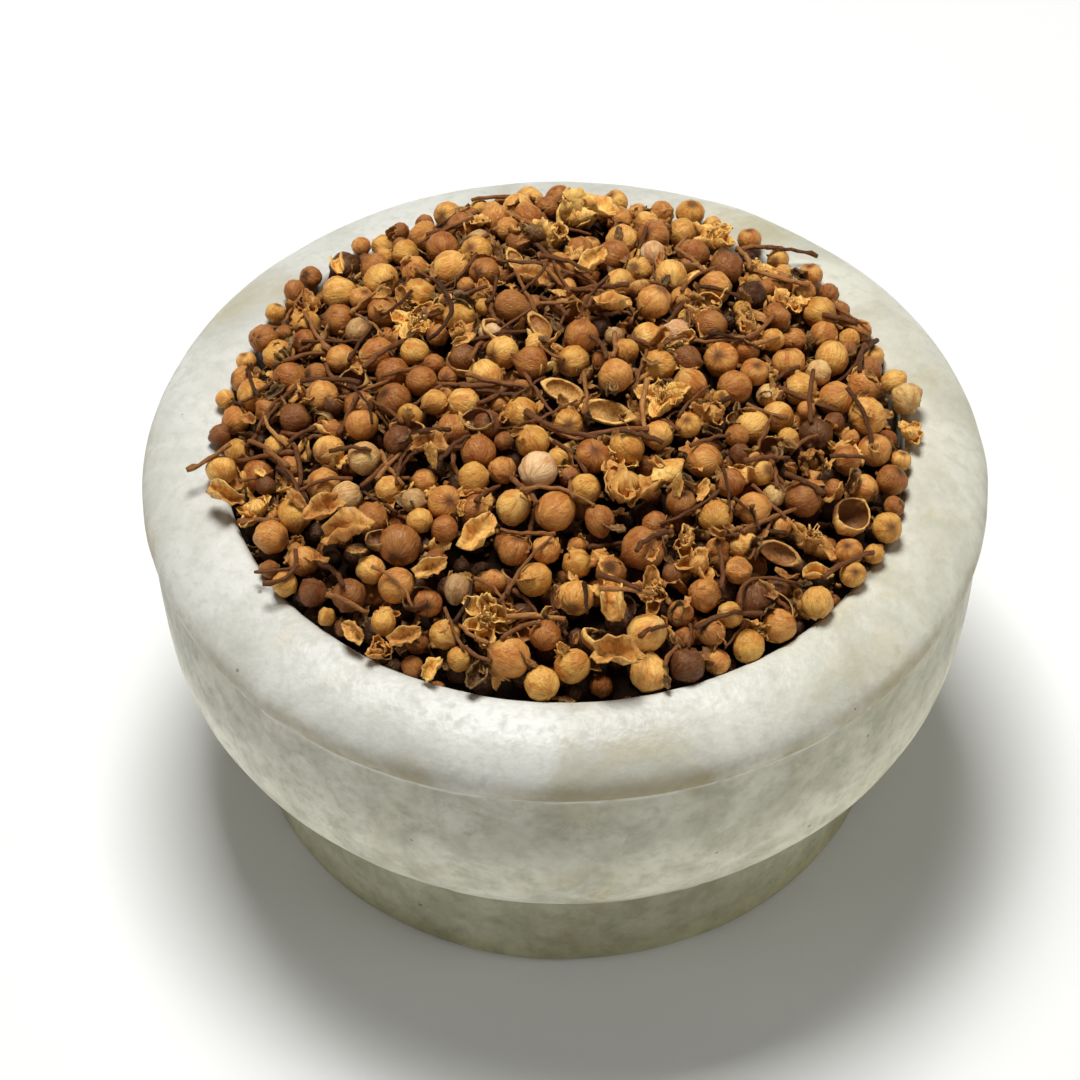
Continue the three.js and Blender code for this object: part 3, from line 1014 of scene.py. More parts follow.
class BudBuilder:
    """Models the buds: round, with the tip or the scar of the stalk that real ones have."""

    def __init__(self, segments: int = 16, rings: int = 10) -> None:
        """Keeps how finely the balls are divided."""
        self.segments = segments
        self.rings = rings

    def ball(self, lumps: float, seed: int, long: float) -> bpy.types.Object:
        """A slightly lumpy ball, the start of every bud.

        Args:
            lumps: How lumpy it is.
            seed: Which lumps it gets.
            long: Its length from pole to pole, for a width of 1.

        Returns:
            The ball, in edit mode.
        """
        start_fresh()
        bpy.ops.mesh.primitive_uv_sphere_add(segments=self.segments, ring_count=self.rings, radius=1)
        ball = bpy.context.object
        select_all()
        bpy.ops.transform.resize(value=(1, 0.97, long))
        bpy.ops.transform.vertex_random(offset=lumps, uniform=0.1, normal=0.8, seed=seed)
        bpy.ops.mesh.vertices_smooth(factor=0.4)
        return ball

    def pull(self, ball: bpy.types.Object, test: Callable[[Vector], bool], move: float,
             width: float) -> None:
        """Pulls part of the ball along its axis, and narrows or widens that part.

        Args:
            ball: The ball.
            test: Picks the part.
            move: How far it moves along +Z.
            width: What its width is multiplied by.
        """
        pick(ball, test)
        bpy.ops.transform.translate(value=(0, 0, move))
        bpy.ops.transform.resize(value=(width, width, 1))

    def round_bud(self, seed: int) -> Shape:
        """A whole bud with a small worn point at one end and a dark scar at the other.

        Args:
            seed: Which lumps it gets.

        Returns:
            The shape.
        """
        ball = self.ball(0.08, seed, 0.92 + 0.035 * (seed % 4))
        self.pull(ball, lambda at: at.z > 0.9, 0.03, 0.8)
        self.pull(ball, lambda at: at.z > 0.99, 0.1, 1.0)
        self.pull(ball, lambda at: at.z < -0.93, 0.05, 0.8)
        return Shape.taken_from(ball, lambda c: (c[:, 2] < -0.86) * 0.8 - (c[:, 2] > 1.0) * 0.5,
                                ribbed=True)

    def scarred_bud(self, seed: int) -> Shape:
        """A bud that shows the hole which its stalk left, drawn dark: partly the scar's own colour, partly
        painted shade in the hole.

        Args:
            seed: Which lumps it gets.

        Returns:
            The shape.
        """
        ball = self.ball(0.06, seed, 0.92)
        self.pull(ball, lambda at: at.z > 0.8, -0.1, 0.7)
        self.pull(ball, lambda at: at.z > 0.84, -0.22, 0.5)
        inner = 0.26
        return Shape.taken_from(
            ball, lambda c: (c[:, 2] > 0) * np.clip(1.5 - np.hypot(c[:, 0], c[:, 1]) / inner, 0, 1),
            ribbed=True)

    def necked_bud(self, seed: int) -> Shape:
        """A pear-shaped bud that narrows into the start of its stalk, at +Z.

        Args:
            seed: Which lumps it gets.

        Returns:
            The shape.
        """
        ball = self.ball(0.08, seed, 0.98)
        self.pull(ball, lambda at: at.z > 0.7, 0.04, 0.86)
        self.pull(ball, lambda at: at.z > 0.93, 0.14, 0.68)
        self.pull(ball, lambda at: at.z > 1.13, 0.2, 1.0)
        return Shape.taken_from(ball, lambda c: np.clip((c[:, 2] - 0.45) * 1.1, 0, 0.85),
                                ribbed=True)

    def sepalled_bud(self, seed: int) -> Shape:
        """A bud whose four leaves overlap, with the seams between them drawn in.

        Args:
            seed: Which lumps it gets.

        Returns:
            The shape.
        """
        ball = self.ball(0.04, seed, 1.02)
        for quarter in range(4):
            angle = quarter * TAU / 4 + 0.3
            seam = Vector((math.cos(angle), math.sin(angle), 0))
            pick(ball, lambda at: at.z > -0.35 and at.to_2d().length > 0.2
                 and at.to_2d().normalized().dot(seam.to_2d()) > 0.985)
            bpy.ops.transform.resize(value=(0.9, 0.9, 0.99))
        return Shape.taken_from(ball, ribbed=True)

    def shrunken_bud(self, seed: int) -> Shape:
        """A bud that dried in on one side.

        Args:
            seed: Which lumps it gets.

        Returns:
            The shape.
        """
        ball = self.ball(0.14, seed, 0.88)
        pick(ball, lambda at: at.x > 0.55)
        bpy.ops.transform.translate(value=(-0.22, 0, 0))
        return Shape.taken_from(ball, lambda c: np.clip((c[:, 0] - 0.55) * 2, 0, 0.4),
                                ribbed=True)

    def shapes(self) -> dict[str, list[Shape]]:
        """Every kind of bud, in a few versions each.

        Returns:
            Shapes of each kind, by its name.
        """
        return {
            "round": [self.round_bud(seed) for seed in range(5)],
            "scarred": [self.scarred_bud(seed) for seed in range(11, 14)],
            "necked": [self.necked_bud(seed) for seed in range(21, 25)],
            "sepalled": [self.sepalled_bud(seed) for seed in range(31, 33)],
            "shrunken": [self.shrunken_bud(seed) for seed in range(41, 44)],
        }


class LeafBuilder:
    """Models what is thin: petals, husks, open flowers, tufts and claws of dried sepals."""

    thickness: float = 0.07
    crumple_size: float = 0.5
    rows: int = 8
    columns: int = 6

    def crumpled(self, piece: bpy.types.Object, depth: float, seed: int) -> None:
        """Crumples a thin piece, makes its edge a little paler and gives it its thickness.

        Args:
            piece: The flat piece.
            depth: How deep the crumple is.
            seed: Which crumple it gets.
        """
        mesh = piece.data
        paler_rim = np.zeros(len(mesh.vertices), np.float32)
        counts = np.zeros(len(mesh.vertices), int)
        for face in mesh.polygons:
            for corner in face.vertices:
                counts[corner] += 1
        paler_rim[counts < 4] = -0.08
        keep_values(mesh, "shade", paler_rim)
        texture = bpy.data.textures.new("crumple", "CLOUDS")
        texture.noise_scale = self.crumple_size
        bend = piece.modifiers.new("crumple", "DISPLACE")
        bend.texture = texture
        bend.strength = depth
        bend.texture_coords = "LOCAL"
        wall = piece.modifiers.new("wall", "SOLIDIFY")
        wall.thickness = self.thickness
        wall.offset = 0
        select_all()
        bpy.ops.transform.translate(value=(0, 0, 3 * seed))
        bpy.ops.transform.vertex_random(offset=depth * 0.18, uniform=1, normal=0, seed=seed)
        bpy.ops.object.mode_set(mode="OBJECT")
        apply_modifiers(piece)
        select_all()
        bpy.ops.transform.translate(value=(0, 0, -3 * seed))
        bpy.ops.object.mode_set(mode="OBJECT")

    def petal(self, seed: int, cup: float, width: float, curl: float = 0.0,
              pointed: bool = False) -> Shape:
        """A spoon-shaped leaf, its stem end at the origin and its tip at +Y.

        Args:
            seed: Which crumple it gets.
            cup: How deeply it is cupped.
            width: Its half width, for a length of 2.
            curl: How far its long edges roll over.
            pointed: Whether both of its ends are points, and it lies smooth.

        Returns:
            The shape.
        """
        draw = random.Random(seed)
        start_fresh()
        bpy.ops.mesh.primitive_grid_add(x_subdivisions=self.columns, y_subdivisions=self.rows,
                                        size=2, location=(0, 1, 0))
        leaf = bpy.context.object
        bpy.ops.object.transform_apply(location=True, rotation=True, scale=True)
        for row in range(self.rows + 1):
            along = 2 * row / self.rows
            wide = width * (math.sin(math.pi * min(1, 0.12 + 0.40 * along)) ** 0.7)
            if pointed:
                wide = width * math.sin(math.pi * along / 2)
            pick(leaf, lambda at: abs(at.y - along) < 0.05)
            bpy.ops.transform.resize(value=(max(0.06 if pointed else 0.14, wide), 1, 1))
        bpy.ops.object.mode_set(mode="OBJECT")
        places = corners_of(leaf)
        side = places[:, 0] / width
        places[:, 2] += cup * (places[:, 0] ** 2 * 1.3 + (places[:, 1] - 1) ** 2 * 0.55)
        places[:, 2] += curl * np.abs(side) ** 3
        places[:, 0] *= 1 - 0.45 * curl * side**2
        turn = (0.0 if pointed else draw.uniform(-0.9, 0.9)) * (places[:, 1] - 1)
        across, up = places[:, 0].copy(), places[:, 2].copy()
        places[:, 0] = across * np.cos(turn) - up * np.sin(turn)
        places[:, 2] = across * np.sin(turn) + up * np.cos(turn)
        move_corners(leaf, places)
        self.crumpled(leaf, 0.08 if pointed else 0.5, seed)
        return Shape.taken_from(leaf)

    def husk(self, seed: int, long: float, cut: float, wall_thickness: float = 0.08,
             dark: float = 0.85) -> Shape:
        """Half of an emptied bud: a ball cut open and given a wall.

        Args:
            seed: Which unevenness it gets.
            long: Its length along X, for a radius of 1.
            cut: Height at which the ball is cut.
            wall_thickness: Its wall's thickness.
            dark: How dark its inside is.

        Returns:
            The shape, with its open side towards +Z and its inside shaded.
        """
        ball = BudBuilder(14, 9).ball(0.07, seed, 0.9)
        select_all()
        bpy.ops.mesh.bisect(plane_co=(0, 0, cut), plane_no=(0.1, 0.15, 1), clear_outer=True)
        bpy.ops.object.mode_set(mode="OBJECT")
        wall = ball.modifiers.new("wall", "SOLIDIFY")
        wall.thickness = wall_thickness
        wall.offset = -1
        apply_modifiers(ball)
        select_all()
        bpy.ops.transform.resize(value=(long, 1, 1))
        pick(ball, lambda at: abs(at.x) > 0.8 * long)
        bpy.ops.transform.resize(value=(1.12, 0.5, 1))
        bpy.ops.object.mode_set(mode="OBJECT")
        edge = cut - 0.06
        inner = 1.02 - 0.8 * wall_thickness
        return Shape.taken_from(ball, lambda c: np.where(
            c[:, 2] > edge, -0.3, dark * (np.linalg.norm(c / (long, 1, 0.9), axis=1) < inner)))

    def tuft(self, seed: int, count: int) -> Shape:
        """A tuft of fine stamens with thick tips, standing on the origin along +Z.

        Args:
            seed: Which tuft it is.
            count: Number of stamens.

        Returns:
            The shape.
        """
        draw = random.Random(seed)
        threads = []
        for _ in range(count):
            angle = draw.uniform(0, TAU)
            spread = draw.uniform(0, 0.75)
            way = Vector((spread * math.cos(angle), spread * math.sin(angle), 1)).normalized()
            length = draw.uniform(0.55, 1.0)
            bend = Vector([draw.uniform(-0.2, 0.2) for _ in range(3)])
            path = [way * 0.1, way * length * 0.55 + bend, way * length + bend, way * length * 1.1]
            threads.append(tube(path, (0.03, 0.025, 0.035, 0.06), 3))
        tuft = Shape.joined(threads)
        tuft.shade = -0.5 * np.clip(np.linalg.norm(tuft.corners, axis=1) - 0.2, 0, 1)
        return tuft

    def open_flower(self, seed: int) -> Shape:
        """A bud that burst open: thick cupped petals round a tuft or a closed heart.

        Args:
            seed: Which one it is.

        Returns:
            The shape.
        """
        draw = random.Random(seed)
        parts = [self.petal(seed * 7, 0.75, 0.8, 0.35), self.petal(seed * 7 + 1, 0.95, 0.7, 0.2),
                 self.petal(seed * 7 + 2, 0.5, 0.75, 0.5)]
        if seed % 2:
            heart = BudBuilder(12, 8).round_bud(seed + 60)
            placed = [heart.moved(Matrix.Identity(3), (0, 0, -0.05), 0.6)]
        else:
            placed = [self.tuft(seed, 34).moved(Matrix.Identity(3), (0, 0, -0.5), 1.0)]
        for i in range(6):
            lean = math.radians(draw.choice((22, 48, 66))) + draw.uniform(-0.25, 0.25)
            turn = Euler((lean, 0, 0)).to_matrix()
            around = Euler((0, 0, i * TAU / 6 + draw.uniform(-0.3, 0.3))).to_matrix()
            size = draw.uniform(0.5, 0.78)
            foot = around @ Vector((0, 0.12, -0.75))
            placed.append(parts[i % 3].moved(around @ turn, foot, size))
        return Shape.joined(placed)

    def rose(self, seed: int) -> Shape:
        """A rolled bud: petals wound tightly into one another.

        Args:
            seed: Which one it is.

        Returns:
            The shape.
        """
        draw = random.Random(seed)
        leaf = self.petal(seed * 5 + 3, 0.8, 0.8, 0.2)
        placed = []
        for i in range(6):
            lean = Euler((math.radians(74 - 3 * i), 0, 0)).to_matrix()
            around = Euler((draw.uniform(-0.1, 0.1), 0, i * 2.1)).to_matrix()
            foot = around @ Vector((0, 0.12 + 0.08 * i, -0.75))
            placed.append(leaf.moved(around @ lean, foot, 0.62))
        return Shape.joined(placed)

    def claw(self, seed: int) -> Shape:
        """Dried sepals that close like a claw round a narrow bud.

        Args:
            seed: Which one it is.

        Returns:
            The shape.
        """
        draw = random.Random(seed)
        leaf = self.petal(seed * 3 + 2, 0.4, 0.42)
        placed = [BudBuilder(10, 7).round_bud(seed + 80).moved(Matrix.Identity(3), (0, 0, 0), 0.45)]
        for i in range(5):
            lean = Euler((math.radians(draw.uniform(62, 80)), 0, 0)).to_matrix()
            around = Euler((0, 0, i * TAU / 5)).to_matrix()
            placed.append(leaf.moved(around @ lean, around @ Vector((0, 0.1, -0.9)), 0.95))
        return Shape.joined(placed)

    def scrap(self, seed: int) -> Shape:
        """A torn scrap of petal, curled over.

        Args:
            seed: Which one it is.

        Returns:
            The shape.
        """
        start_fresh()
        bpy.ops.mesh.primitive_grid_add(x_subdivisions=5, y_subdivisions=5, size=2)
        leaf = bpy.context.object
        draw = random.Random(seed)
        places = corners_of(leaf)
        angles = np.arctan2(places[:, 1], places[:, 0])
        ragged = 0.75 + 0.22 * np.sin(3 * angles + seed) + 0.12 * np.sin(7 * angles + 2 * seed)
        places[:, :2] *= ragged[:, None]
        places[:, 2] = draw.uniform(0.2, 0.7) * places[:, 0] ** 2 - 0.3 * places[:, 1] ** 2
        move_corners(leaf, places)
        self.crumpled(leaf, 0.6, seed)
        return Shape.taken_from(leaf)

    def crumb(self, seed: int) -> Shape:
        """A rough crumb.

        Args:
            seed: Which one it is.

        Returns:
            The shape.
        """
        start_fresh()
        bpy.ops.mesh.primitive_ico_sphere_add(subdivisions=1, radius=1)
        crumb = bpy.context.object
        select_all()
        bpy.ops.transform.resize(value=(1, 0.7, 0.45))
        bpy.ops.transform.vertex_random(offset=0.35, uniform=1, normal=0, seed=seed)
        bpy.ops.object.mode_set(mode="OBJECT")
        return Shape.taken_from(crumb)


# ---- pieces of one kind, joined ----


class JoinedPieces:
    """Many small pieces of one finish, gathered and then made as one mesh."""

    def __init__(self, name: str) -> None:
        """Starts an empty gathering under the piece's name."""
        self.name = name
        self.parts: list[Shape] = []
        self.tones: list[float] = []
        self.skins: list[np.ndarray] = []

    def add(self, shape: Shape, turn: Matrix, at: Sequence[float], size: float, tone: float,
            skin_shift: Sequence[float] = (0, 0, 0)) -> None:
        """Adds one piece.

        Args:
            shape: What it is, at a radius of 1.
            turn: How it is turned.
            at: Where its middle lies, in metres.
            size: Its radius in metres.
            tone: Its place on the finish's row of colours, 0 to 1.
            skin_shift: Moves its pattern, so that no two pieces look alike.
        """
        self.parts.append(shape.moved(turn, at, size))
        self.tones.append(tone)
        self.skins.append(shape.grain + np.array(skin_shift))

    def build(self, material: bpy.types.Material, slot: str) -> None:
        """Makes the mesh with its attributes and finish, riding on the root body.

        Args:
            material: Its finish.
            slot: Not used.
        """
        whole = Shape.joined(self.parts)
        mesh = bpy.data.meshes.new(self.name)
        mesh.vertices.add(len(whole.corners))
        mesh.vertices.foreach_set("co", whole.corners.astype(np.float32).ravel())
        mesh.loops.add(len(whole.loops))
        mesh.loops.foreach_set("vertex_index", whole.loops)
        mesh.polygons.add(len(whole.sizes))
        starts = np.concatenate([[0], np.cumsum(whole.sizes)[:-1]]).astype(np.int32)
        mesh.polygons.foreach_set("loop_start", starts)
        mesh.polygons.foreach_set("use_smooth", [True] * len(whole.sizes))
        mesh.update(calc_edges=True)
        counts = [len(part.corners) for part in self.parts]
        keep_values(mesh, "tone", np.repeat(self.tones, counts))
        keep_values(mesh, "shade", whole.shade)
        keep_values(mesh, "skin", np.concatenate(self.skins))
        mesh.validate()
        piece = bpy.data.objects.new(self.name, mesh)
        bpy.context.scene.collection.objects.link(piece)
        mesh.materials.append(material)
        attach(piece, ROOT)
        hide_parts("heap")
        log.info("%s: %d pieces, %d faces", self.name, len(self.parts), len(whole.sizes))


# ---- where things lie in the heap ----


class Kind(Enum):
    """What a piece in the heap is."""

    BUD = "bud"
    OPEN = "open flower"
    ROSE = "rolled bud"
    CUP = "split cup"
    BOAT = "boat-shaped husk"
    PETAL = "petal"
    LEAF = "pointed leaf"
    CLAW = "claw of sepals"


class Colour(Enum):
    """Colour of a piece: a bud's finish, its tone there, and its tone if it is papery."""

    TAN = ("ochre", 0.85, 0.74)
    OCHRE = ("ochre", 0.5, 0.72)
    YELLOW = ("ochre", 0.75, 0.96)
    ORANGE = ("orange", 0.7, 0.7)
    RUST = ("orange", 0.2, 0.55)
    BROWN = ("brown", 0.95, 0.5)
    OLIVE = ("brown", 0.7, 0.25)
    PLUM = ("brown", 0.45, 0.2)
    DARK = ("brown", 0.15, 0.12)
    GREY = ("pale", 0.15, 0.45)
    PALE = ("pale", 0.5, 0.8)
    CREAM = ("pale", 0.8, 1.0)
    PINK = ("pale", 1.0, 0.95)


@dataclass(frozen=True)
class Landmark:
    """A piece that stands out in the photograph: its middle and radius there, in pixels."""

    kind: Kind
    colour: Colour
    photo_x: int
    photo_y: int
    radius_px: float
    heading: Optional[float] = None


@dataclass(frozen=True)
class StalkMark:
    """A stalk that stands out in the photograph: its two ends there, in pixels."""

    tone: float
    from_x: int
    from_y: int
    to_x: int
    to_y: int
    bow: float
    knob: bool


def stalk_marks() -> list[StalkMark]:
    """The stalks that stand out, each with its tone, ends, bow and whether it has a knob.

    Returns:
        The marks.
    """
    rows = """
    0.75 306 308 262 318 0.05 knob | 0.70 232 458 187 477 0.05 knob | 0.10 412 295 380 318 0.06
    0.05 437 300 428 345 0.30 | 0.35 540 262 591 282 0.10 | 0.30 548 275 520 292 0.05
    0.35 766 252 818 251 0.04 knob | 0.02 708 341 760 352 0.12 | 0.15 859 378 878 340 0.08 knob
    0.35 811 428 813 376 0.03 | 0.15 846 402 871 455 0.10 | 0.30 620 443 663 447 0.05
    0.15 723 472 729 517 0.05 | 0.30 784 482 824 503 0.08 knob | 0.25 733 504 759 534 0.12
    0.60 507 599 553 546 0.08 | 0.40 300 574 256 577 0.05 knob | 0.35 296 556 263 597 0.28 knob
    0.45 739 626 797 586 0.30 | 0.30 695 640 762 624 0.12 | 0.70 327 611 368 614 0.06
    0.75 372 585 413 615 0.15 | 0.65 474 584 506 622 0.20 | 0.0 584 590 587 622 0.03
    0.55 502 652 541 629 0.10 | 0.40 822 590 873 562 0.06 | 0.75 520 503 594 514 0.16
    0.15 420 452 450 436 0.05 | 0.2 440 470 470 440 0.08 | 0.05 352 404 372 430 0.12
    0.45 690 452 730 436 0.05 | 0.5 744 470 790 462 0.06 | 0.35 596 606 640 614 0.05
    0.85 600 622 652 613 0.04 | 0.2 636 580 668 540 0.10 | 0.3 476 512 500 478 0.05
    0.3 330 470 372 462 0.12 | 0.5 300 500 352 482 0.14 | 0.2 318 560 344 600 0.10
    0.1 260 402 250 380 0.05 | 0.1 244 408 232 398 0.05 | 0.35 830 468 866 470 0.06
    0.3 640 660 668 636 0.10 | 0.4 690 625 688 655 0.05 | 0.3 590 340 606 362 0.15
    """
    found = []
    for entry in rows.replace("\n", "|").split("|"):
        words = entry.split()
        if words:
            ends = [int(word) for word in words[1:5]]
            found.append(StalkMark(float(words[0]), *ends, float(words[5]), words[-1] == "knob"))
    return found


def landmarks() -> list[Landmark]:
    """The pieces that stand out, row by row from the back of the heap to the front.

    Returns:
        The marks.
    """
    rows = """
    bud ochre 405 253 14.5 | bud tan 451 266 19 | bud dark 344 262 16 | bud tan 339 289 18
    open rust 486 287 15 | bud tan 619 236 16 | bud tan 647 221 13 | bud tan 671 272 18
    open yellow 577 206 26 | open cream 552 230 22 | open yellow 716 233 20 | bud tan 620 280 16
    petal yellow 596 212 20 | petal ochre 593 258 18 | boat tan 515 253 16 | bud orange 508 228 13
    bud cream 653 249 15 | open yellow 756 258 16 | open yellow 786 295 16 | bud orange 565 298 17
    open ochre 747 318 18 | open tan 460 336 15 | petal yellow 338 272 14 | petal ochre 612 299 20
    boat brown 540 313 20 | petal brown 531 267 20 | open yellow 662 391 18 | petal ochre 320 341 12
    petal rust 251 419 10 | petal tan 228 492 18 | open yellow 253 501 15 | petal tan 306 435 12
    petal yellow 290 474 12 | petal rust 430 446 18 | open ochre 687 533 16 | open rust 699 561 15
    open orange 811 533 20 | cup orange 770 441 14 | petal yellow 818 570 14 | boat brown 781 547 20
    petal pink 547 602 10 | petal yellow 614 597 22 | open rust 653 593 18 | petal ochre 621 657 22
    petal dark 604 634 12 | petal yellow 430 678 12 | petal dark 474 678 15 | petal tan 407 634 16
    petal rust 357 632 14 | petal tan 432 565 16 | petal tan 350 535 24 | petal brown 325 508 20
    bud ochre 307 318 14.5 | bud grey 358 328 14 | open cream 414 318 17 | bud cream 491 329 13
    bud dark 453 295 12 | bud orange 654 302 18 | bud cream 678 326 14 | bud tan 647 334 16
    bud ochre 626 346 13 | cup tan 709 298 14 | bud orange 746 340 15 | bud orange 789 358 17
    bud rust 794 334 13 | bud orange 824 330 15 | bud orange 805 287 12 | cup dark 354 374 15
    bud plum 462 356 15 | bud tan 485 374 19 | bud rust 450 374 11 | bud rust 531 361 17
    boat yellow 564 380 22 -34 | boat yellow 608 400 24 -21 | bud orange 615 374 18 | bud orange 362 424 17
    bud ochre 410 414 14 | bud ochre 434 402 13 | bud ochre 277 443 14 | bud ochre 237 445 13
    bud olive 295 415 16 | bud pale 364 458 17 | bud tan 778 410 16 | open orange 713 410 17
    bud tan 867 416 20 | bud pale 907 402 17 | open pale 911 432 13 | bud tan 658 428 15
    bud ochre 627 444 17 | bud pink 538 470 19 | bud ochre 474 477 15.5 | bud orange 424 474 12
    bud tan 388 484 14 | bud pale 345 496 16 | leaf cream 668 462 21 42 | open orange 623 483 24
    bud ochre 592 488 15 | bud brown 681 500 15 | bud orange 754 506 17 | bud ochre 760 469 14
    claw brown 811 459 20 | bud orange 864 484 15 | bud brown 892 480 16 | cup tan 852 511 20
    bud orange 555 511 20 | bud brown 599 520 15 | bud ochre 419 522 13 | bud brown 443 527 14
    bud brown 399 544 21 | bud orange 271 537 17 | petal yellow 480 535 22 -30 | bud rust 511 547 16
    bud brown 643 548 21 | bud tan 745 539 15 | bud ochre 577 558 15 | bud tan 369 566 15
    bud orange 396 583 17.5 | bud olive 352 590 17 | bud grey 457 585 14 | bud orange 738 570 14
    bud plum 778 578 13 | bud orange 705 597 17 | bud rust 685 607 13 | bud ochre 725 610 13
    bud tan 817 606 16 | bud brown 428 597 14 | open yellow 488 612 18 | bud ochre 445 628 15
    bud orange 785 630 17 | bud ochre 754 649 16 | bud tan 647 633 19 | rose tan 376 654 13
    bud orange 717 669 13 | bud plum 687 668 18 | bud tan 652 676 19 | bud ochre 572 661 17
    bud orange 510 658 20 | bud ochre 541 679 17 | bud brown 409 668 11
    """
    found = []
    for entry in rows.replace("\n", "|").split("|"):
        if entry.strip():
            kind, colour, photo_x, photo_y, radius, *turned = entry.split()
            heading = math.radians(float(turned[0])) if turned else None
            found.append(Landmark(Kind[kind.upper()], Colour[colour.upper()], int(photo_x),
                                  int(photo_y), float(radius), heading))
    return found


def bag(counts: dict[Colour, int]) -> list[Colour]:
    """A list to draw colours from, with each as often as its count says."""
    return [colour for colour, count in counts.items() for _ in range(count)]


FILLING_COLOURS = bag({
    Colour.OCHRE: 10, Colour.TAN: 5, Colour.ORANGE: 12, Colour.RUST: 12, Colour.BROWN: 10,
    Colour.OLIVE: 3, Colour.PLUM: 3, Colour.DARK: 2, Colour.YELLOW: 1, Colour.PALE: 1,
    Colour.GREY: 1,
})
# Painted shade: buds deep in the heap take only dark colours.
DEEP_COLOURS = bag({Colour.BROWN: 5, Colour.RUST: 3, Colour.PLUM: 4, Colour.DARK: 2})
BRIM_COLOURS = (Colour.OCHRE, Colour.TAN, Colour.ORANGE, Colour.BROWN)


@dataclass
class Lying:
    """A round piece and where it lies: the balls that the heap is stacked from."""

    kind: Kind
    colour: Colour
    radius: float
    at: np.ndarray
    deep: bool = False
    mark: bool = False
    heading: Optional[float] = None


@dataclass
class HeapLayout:
    """Stacks the heap: the pieces that stand out first, then others by size, largest first."""

    form: HeapForm
    camera: PhotoCamera
    seed: int = 7
    deep_count: int = 420
    filling_count: int = 520
    small_r: float = 1.6 * MM
    large_r: float = 3.1 * MM
    spots: int = 120
    core_depth: float = 7.0 * MM
    gap: float = 0.25 * MM
    touch: float = 0.97
    pressed: float = 0.98
    size_falloff: float = 1.5
    bud_lift: float = 0.25
    thin_lift: float = 1.0
    other_lift: float = 0.55
    mark_weight: float = 30.0
    brim_tries: int = 240
    lying: list[Lying] = field(default_factory=list)
    balls: np.ndarray = field(default_factory=lambda: np.zeros((0, 4)))

    def core_height(self, x: float, y: float) -> float:
        """Top of the dark core under the loose pieces."""
        return self.form.height(x, y) - self.core_depth

    def clear_of_stone(self, radius: np.ndarray, z: np.ndarray) -> np.ndarray:
        """How far points lie from the stone; inside the stone it is negative.

        Args:
            radius: The points' distances from the axis.
            z: Their heights.

        Returns:
            The distances.
        """
        bowl = self.form.bowl
        line = bowl.stone_line()
        apart = np.hypot(radius[:, None] - line[None, :, 0], z[:, None] - line[None, :, 1])
        wall = np.interp(z, line[::-1, 1][:61], line[::-1, 0][:61])
        lip = np.array([bowl.lip_z(r) for r in radius])
        outside = np.where(radius < bowl.opening_r, radius > wall, z < lip)
        outside &= z < bowl.height
        return np.where(outside, -1, 1) * apart.min(axis=1)

    def rest(self, x: np.ndarray, y: np.ndarray, radius: float, floor: np.ndarray) -> np.ndarray:
        """Heights at which a ball let down at these places comes to rest.

        Args:
            x: The places along X.
            y: The places along Y.
            radius: The ball's radius.
            floor: Height of the ground at each place.

        Returns:
            The heights of its middle.
        """
        z = floor + radius
        if self.lying:
            at = np.array([piece.at for piece in self.lying])
            reach = (np.array([piece.radius for piece in self.lying]) + radius) * self.touch
            apart = np.hypot(x[:, None] - at[None, :, 0], y[:, None] - at[None, :, 1])
            stacked = at[None, :, 2] + np.sqrt(np.maximum(0, reach[None] ** 2 - apart**2))
            z = np.maximum(z, np.where(apart < reach[None], stacked, -1).max(axis=1))
        bowl = self.form.bowl
        reach = radius + self.gap
        inside = bowl.opening_r - np.hypot(x, y)
        perched = bowl.height + np.sqrt(np.maximum(0, reach**2 - inside**2))
        return np.where(inside < reach, np.maximum(z, perched), z)

    def draw_radius(self, share: float) -> float:
        """A bud's radius: large ones come first."""
        return self.small_r + (self.large_r - self.small_r) * (1 - share) ** self.size_falloff

    def place_landmarks(self) -> None:
        """Lays the pieces that stand out where the photograph has them."""
        px_per_m = self.camera.focal_px / self.camera.distance
        for mark in landmarks():
            radius = mark.radius_px / px_per_m
            lift = self.other_lift * radius
            if mark.kind is Kind.BUD:
                lift = self.bud_lift * radius
            elif mark.kind in (Kind.PETAL, Kind.LEAF):
                lift = self.thin_lift * radius
            at = self.camera.on_heap(mark.photo_x, mark.photo_y, self.form, lift)
            brim = self.form.brim(at.x, at.y)
            limit = self.form.bowl.opening_r + 0.8 * MM * brim - 0.9 * radius * (1 - brim)
            within = min(1.0, limit / at.to_2d().length)
            at = Vector((at.x * within, at.y * within, min(at.z, self.form.ceiling - 1.4 * radius)))
            self.lying.append(Lying(mark.kind, mark.colour, radius, np.array(at), mark=True,
                                    heading=mark.heading))

    def let_down(self, count: int, draw: random.Random, deep: bool) -> None:
        """Lets balls down one by one; each stays on the lowest of the spots tried.

        Args:
            count: How many.
            draw: The seeded source of chance.
            deep: Whether they fill the depth between core and surface.
        """
        palette = DEEP_COLOURS if deep else FILLING_COLOURS
        for i in range(count):
            radius = self.draw_radius(i / count)
            out = (self.form.bowl.opening_r - self.gap) * np.sqrt(
                np.array([draw.random() for _ in range(self.spots)]))
            angle = TAU * np.array([draw.random() for _ in range(self.spots)])
            x, y = out * np.cos(angle), out * np.sin(angle)
            surface = np.array([self.form.height(a, b) for a, b in zip(x, y)])
            z = self.rest(x, y, radius, surface - self.core_depth)
            top = z + radius * 0.6 - surface
            clear = self.clear_of_stone(out, z) - radius - self.gap
            top[clear < 0] = np.inf
            best = int(np.argmin(top))
            limit = -2.2 * MM if deep else radius * 0.75
            colour = draw.choice(palette)
            if top[best] < limit:
                at = np.array([x[best], y[best], z[best]])
                self.lying.append(Lying(Kind.BUD, colour, radius, at, deep))

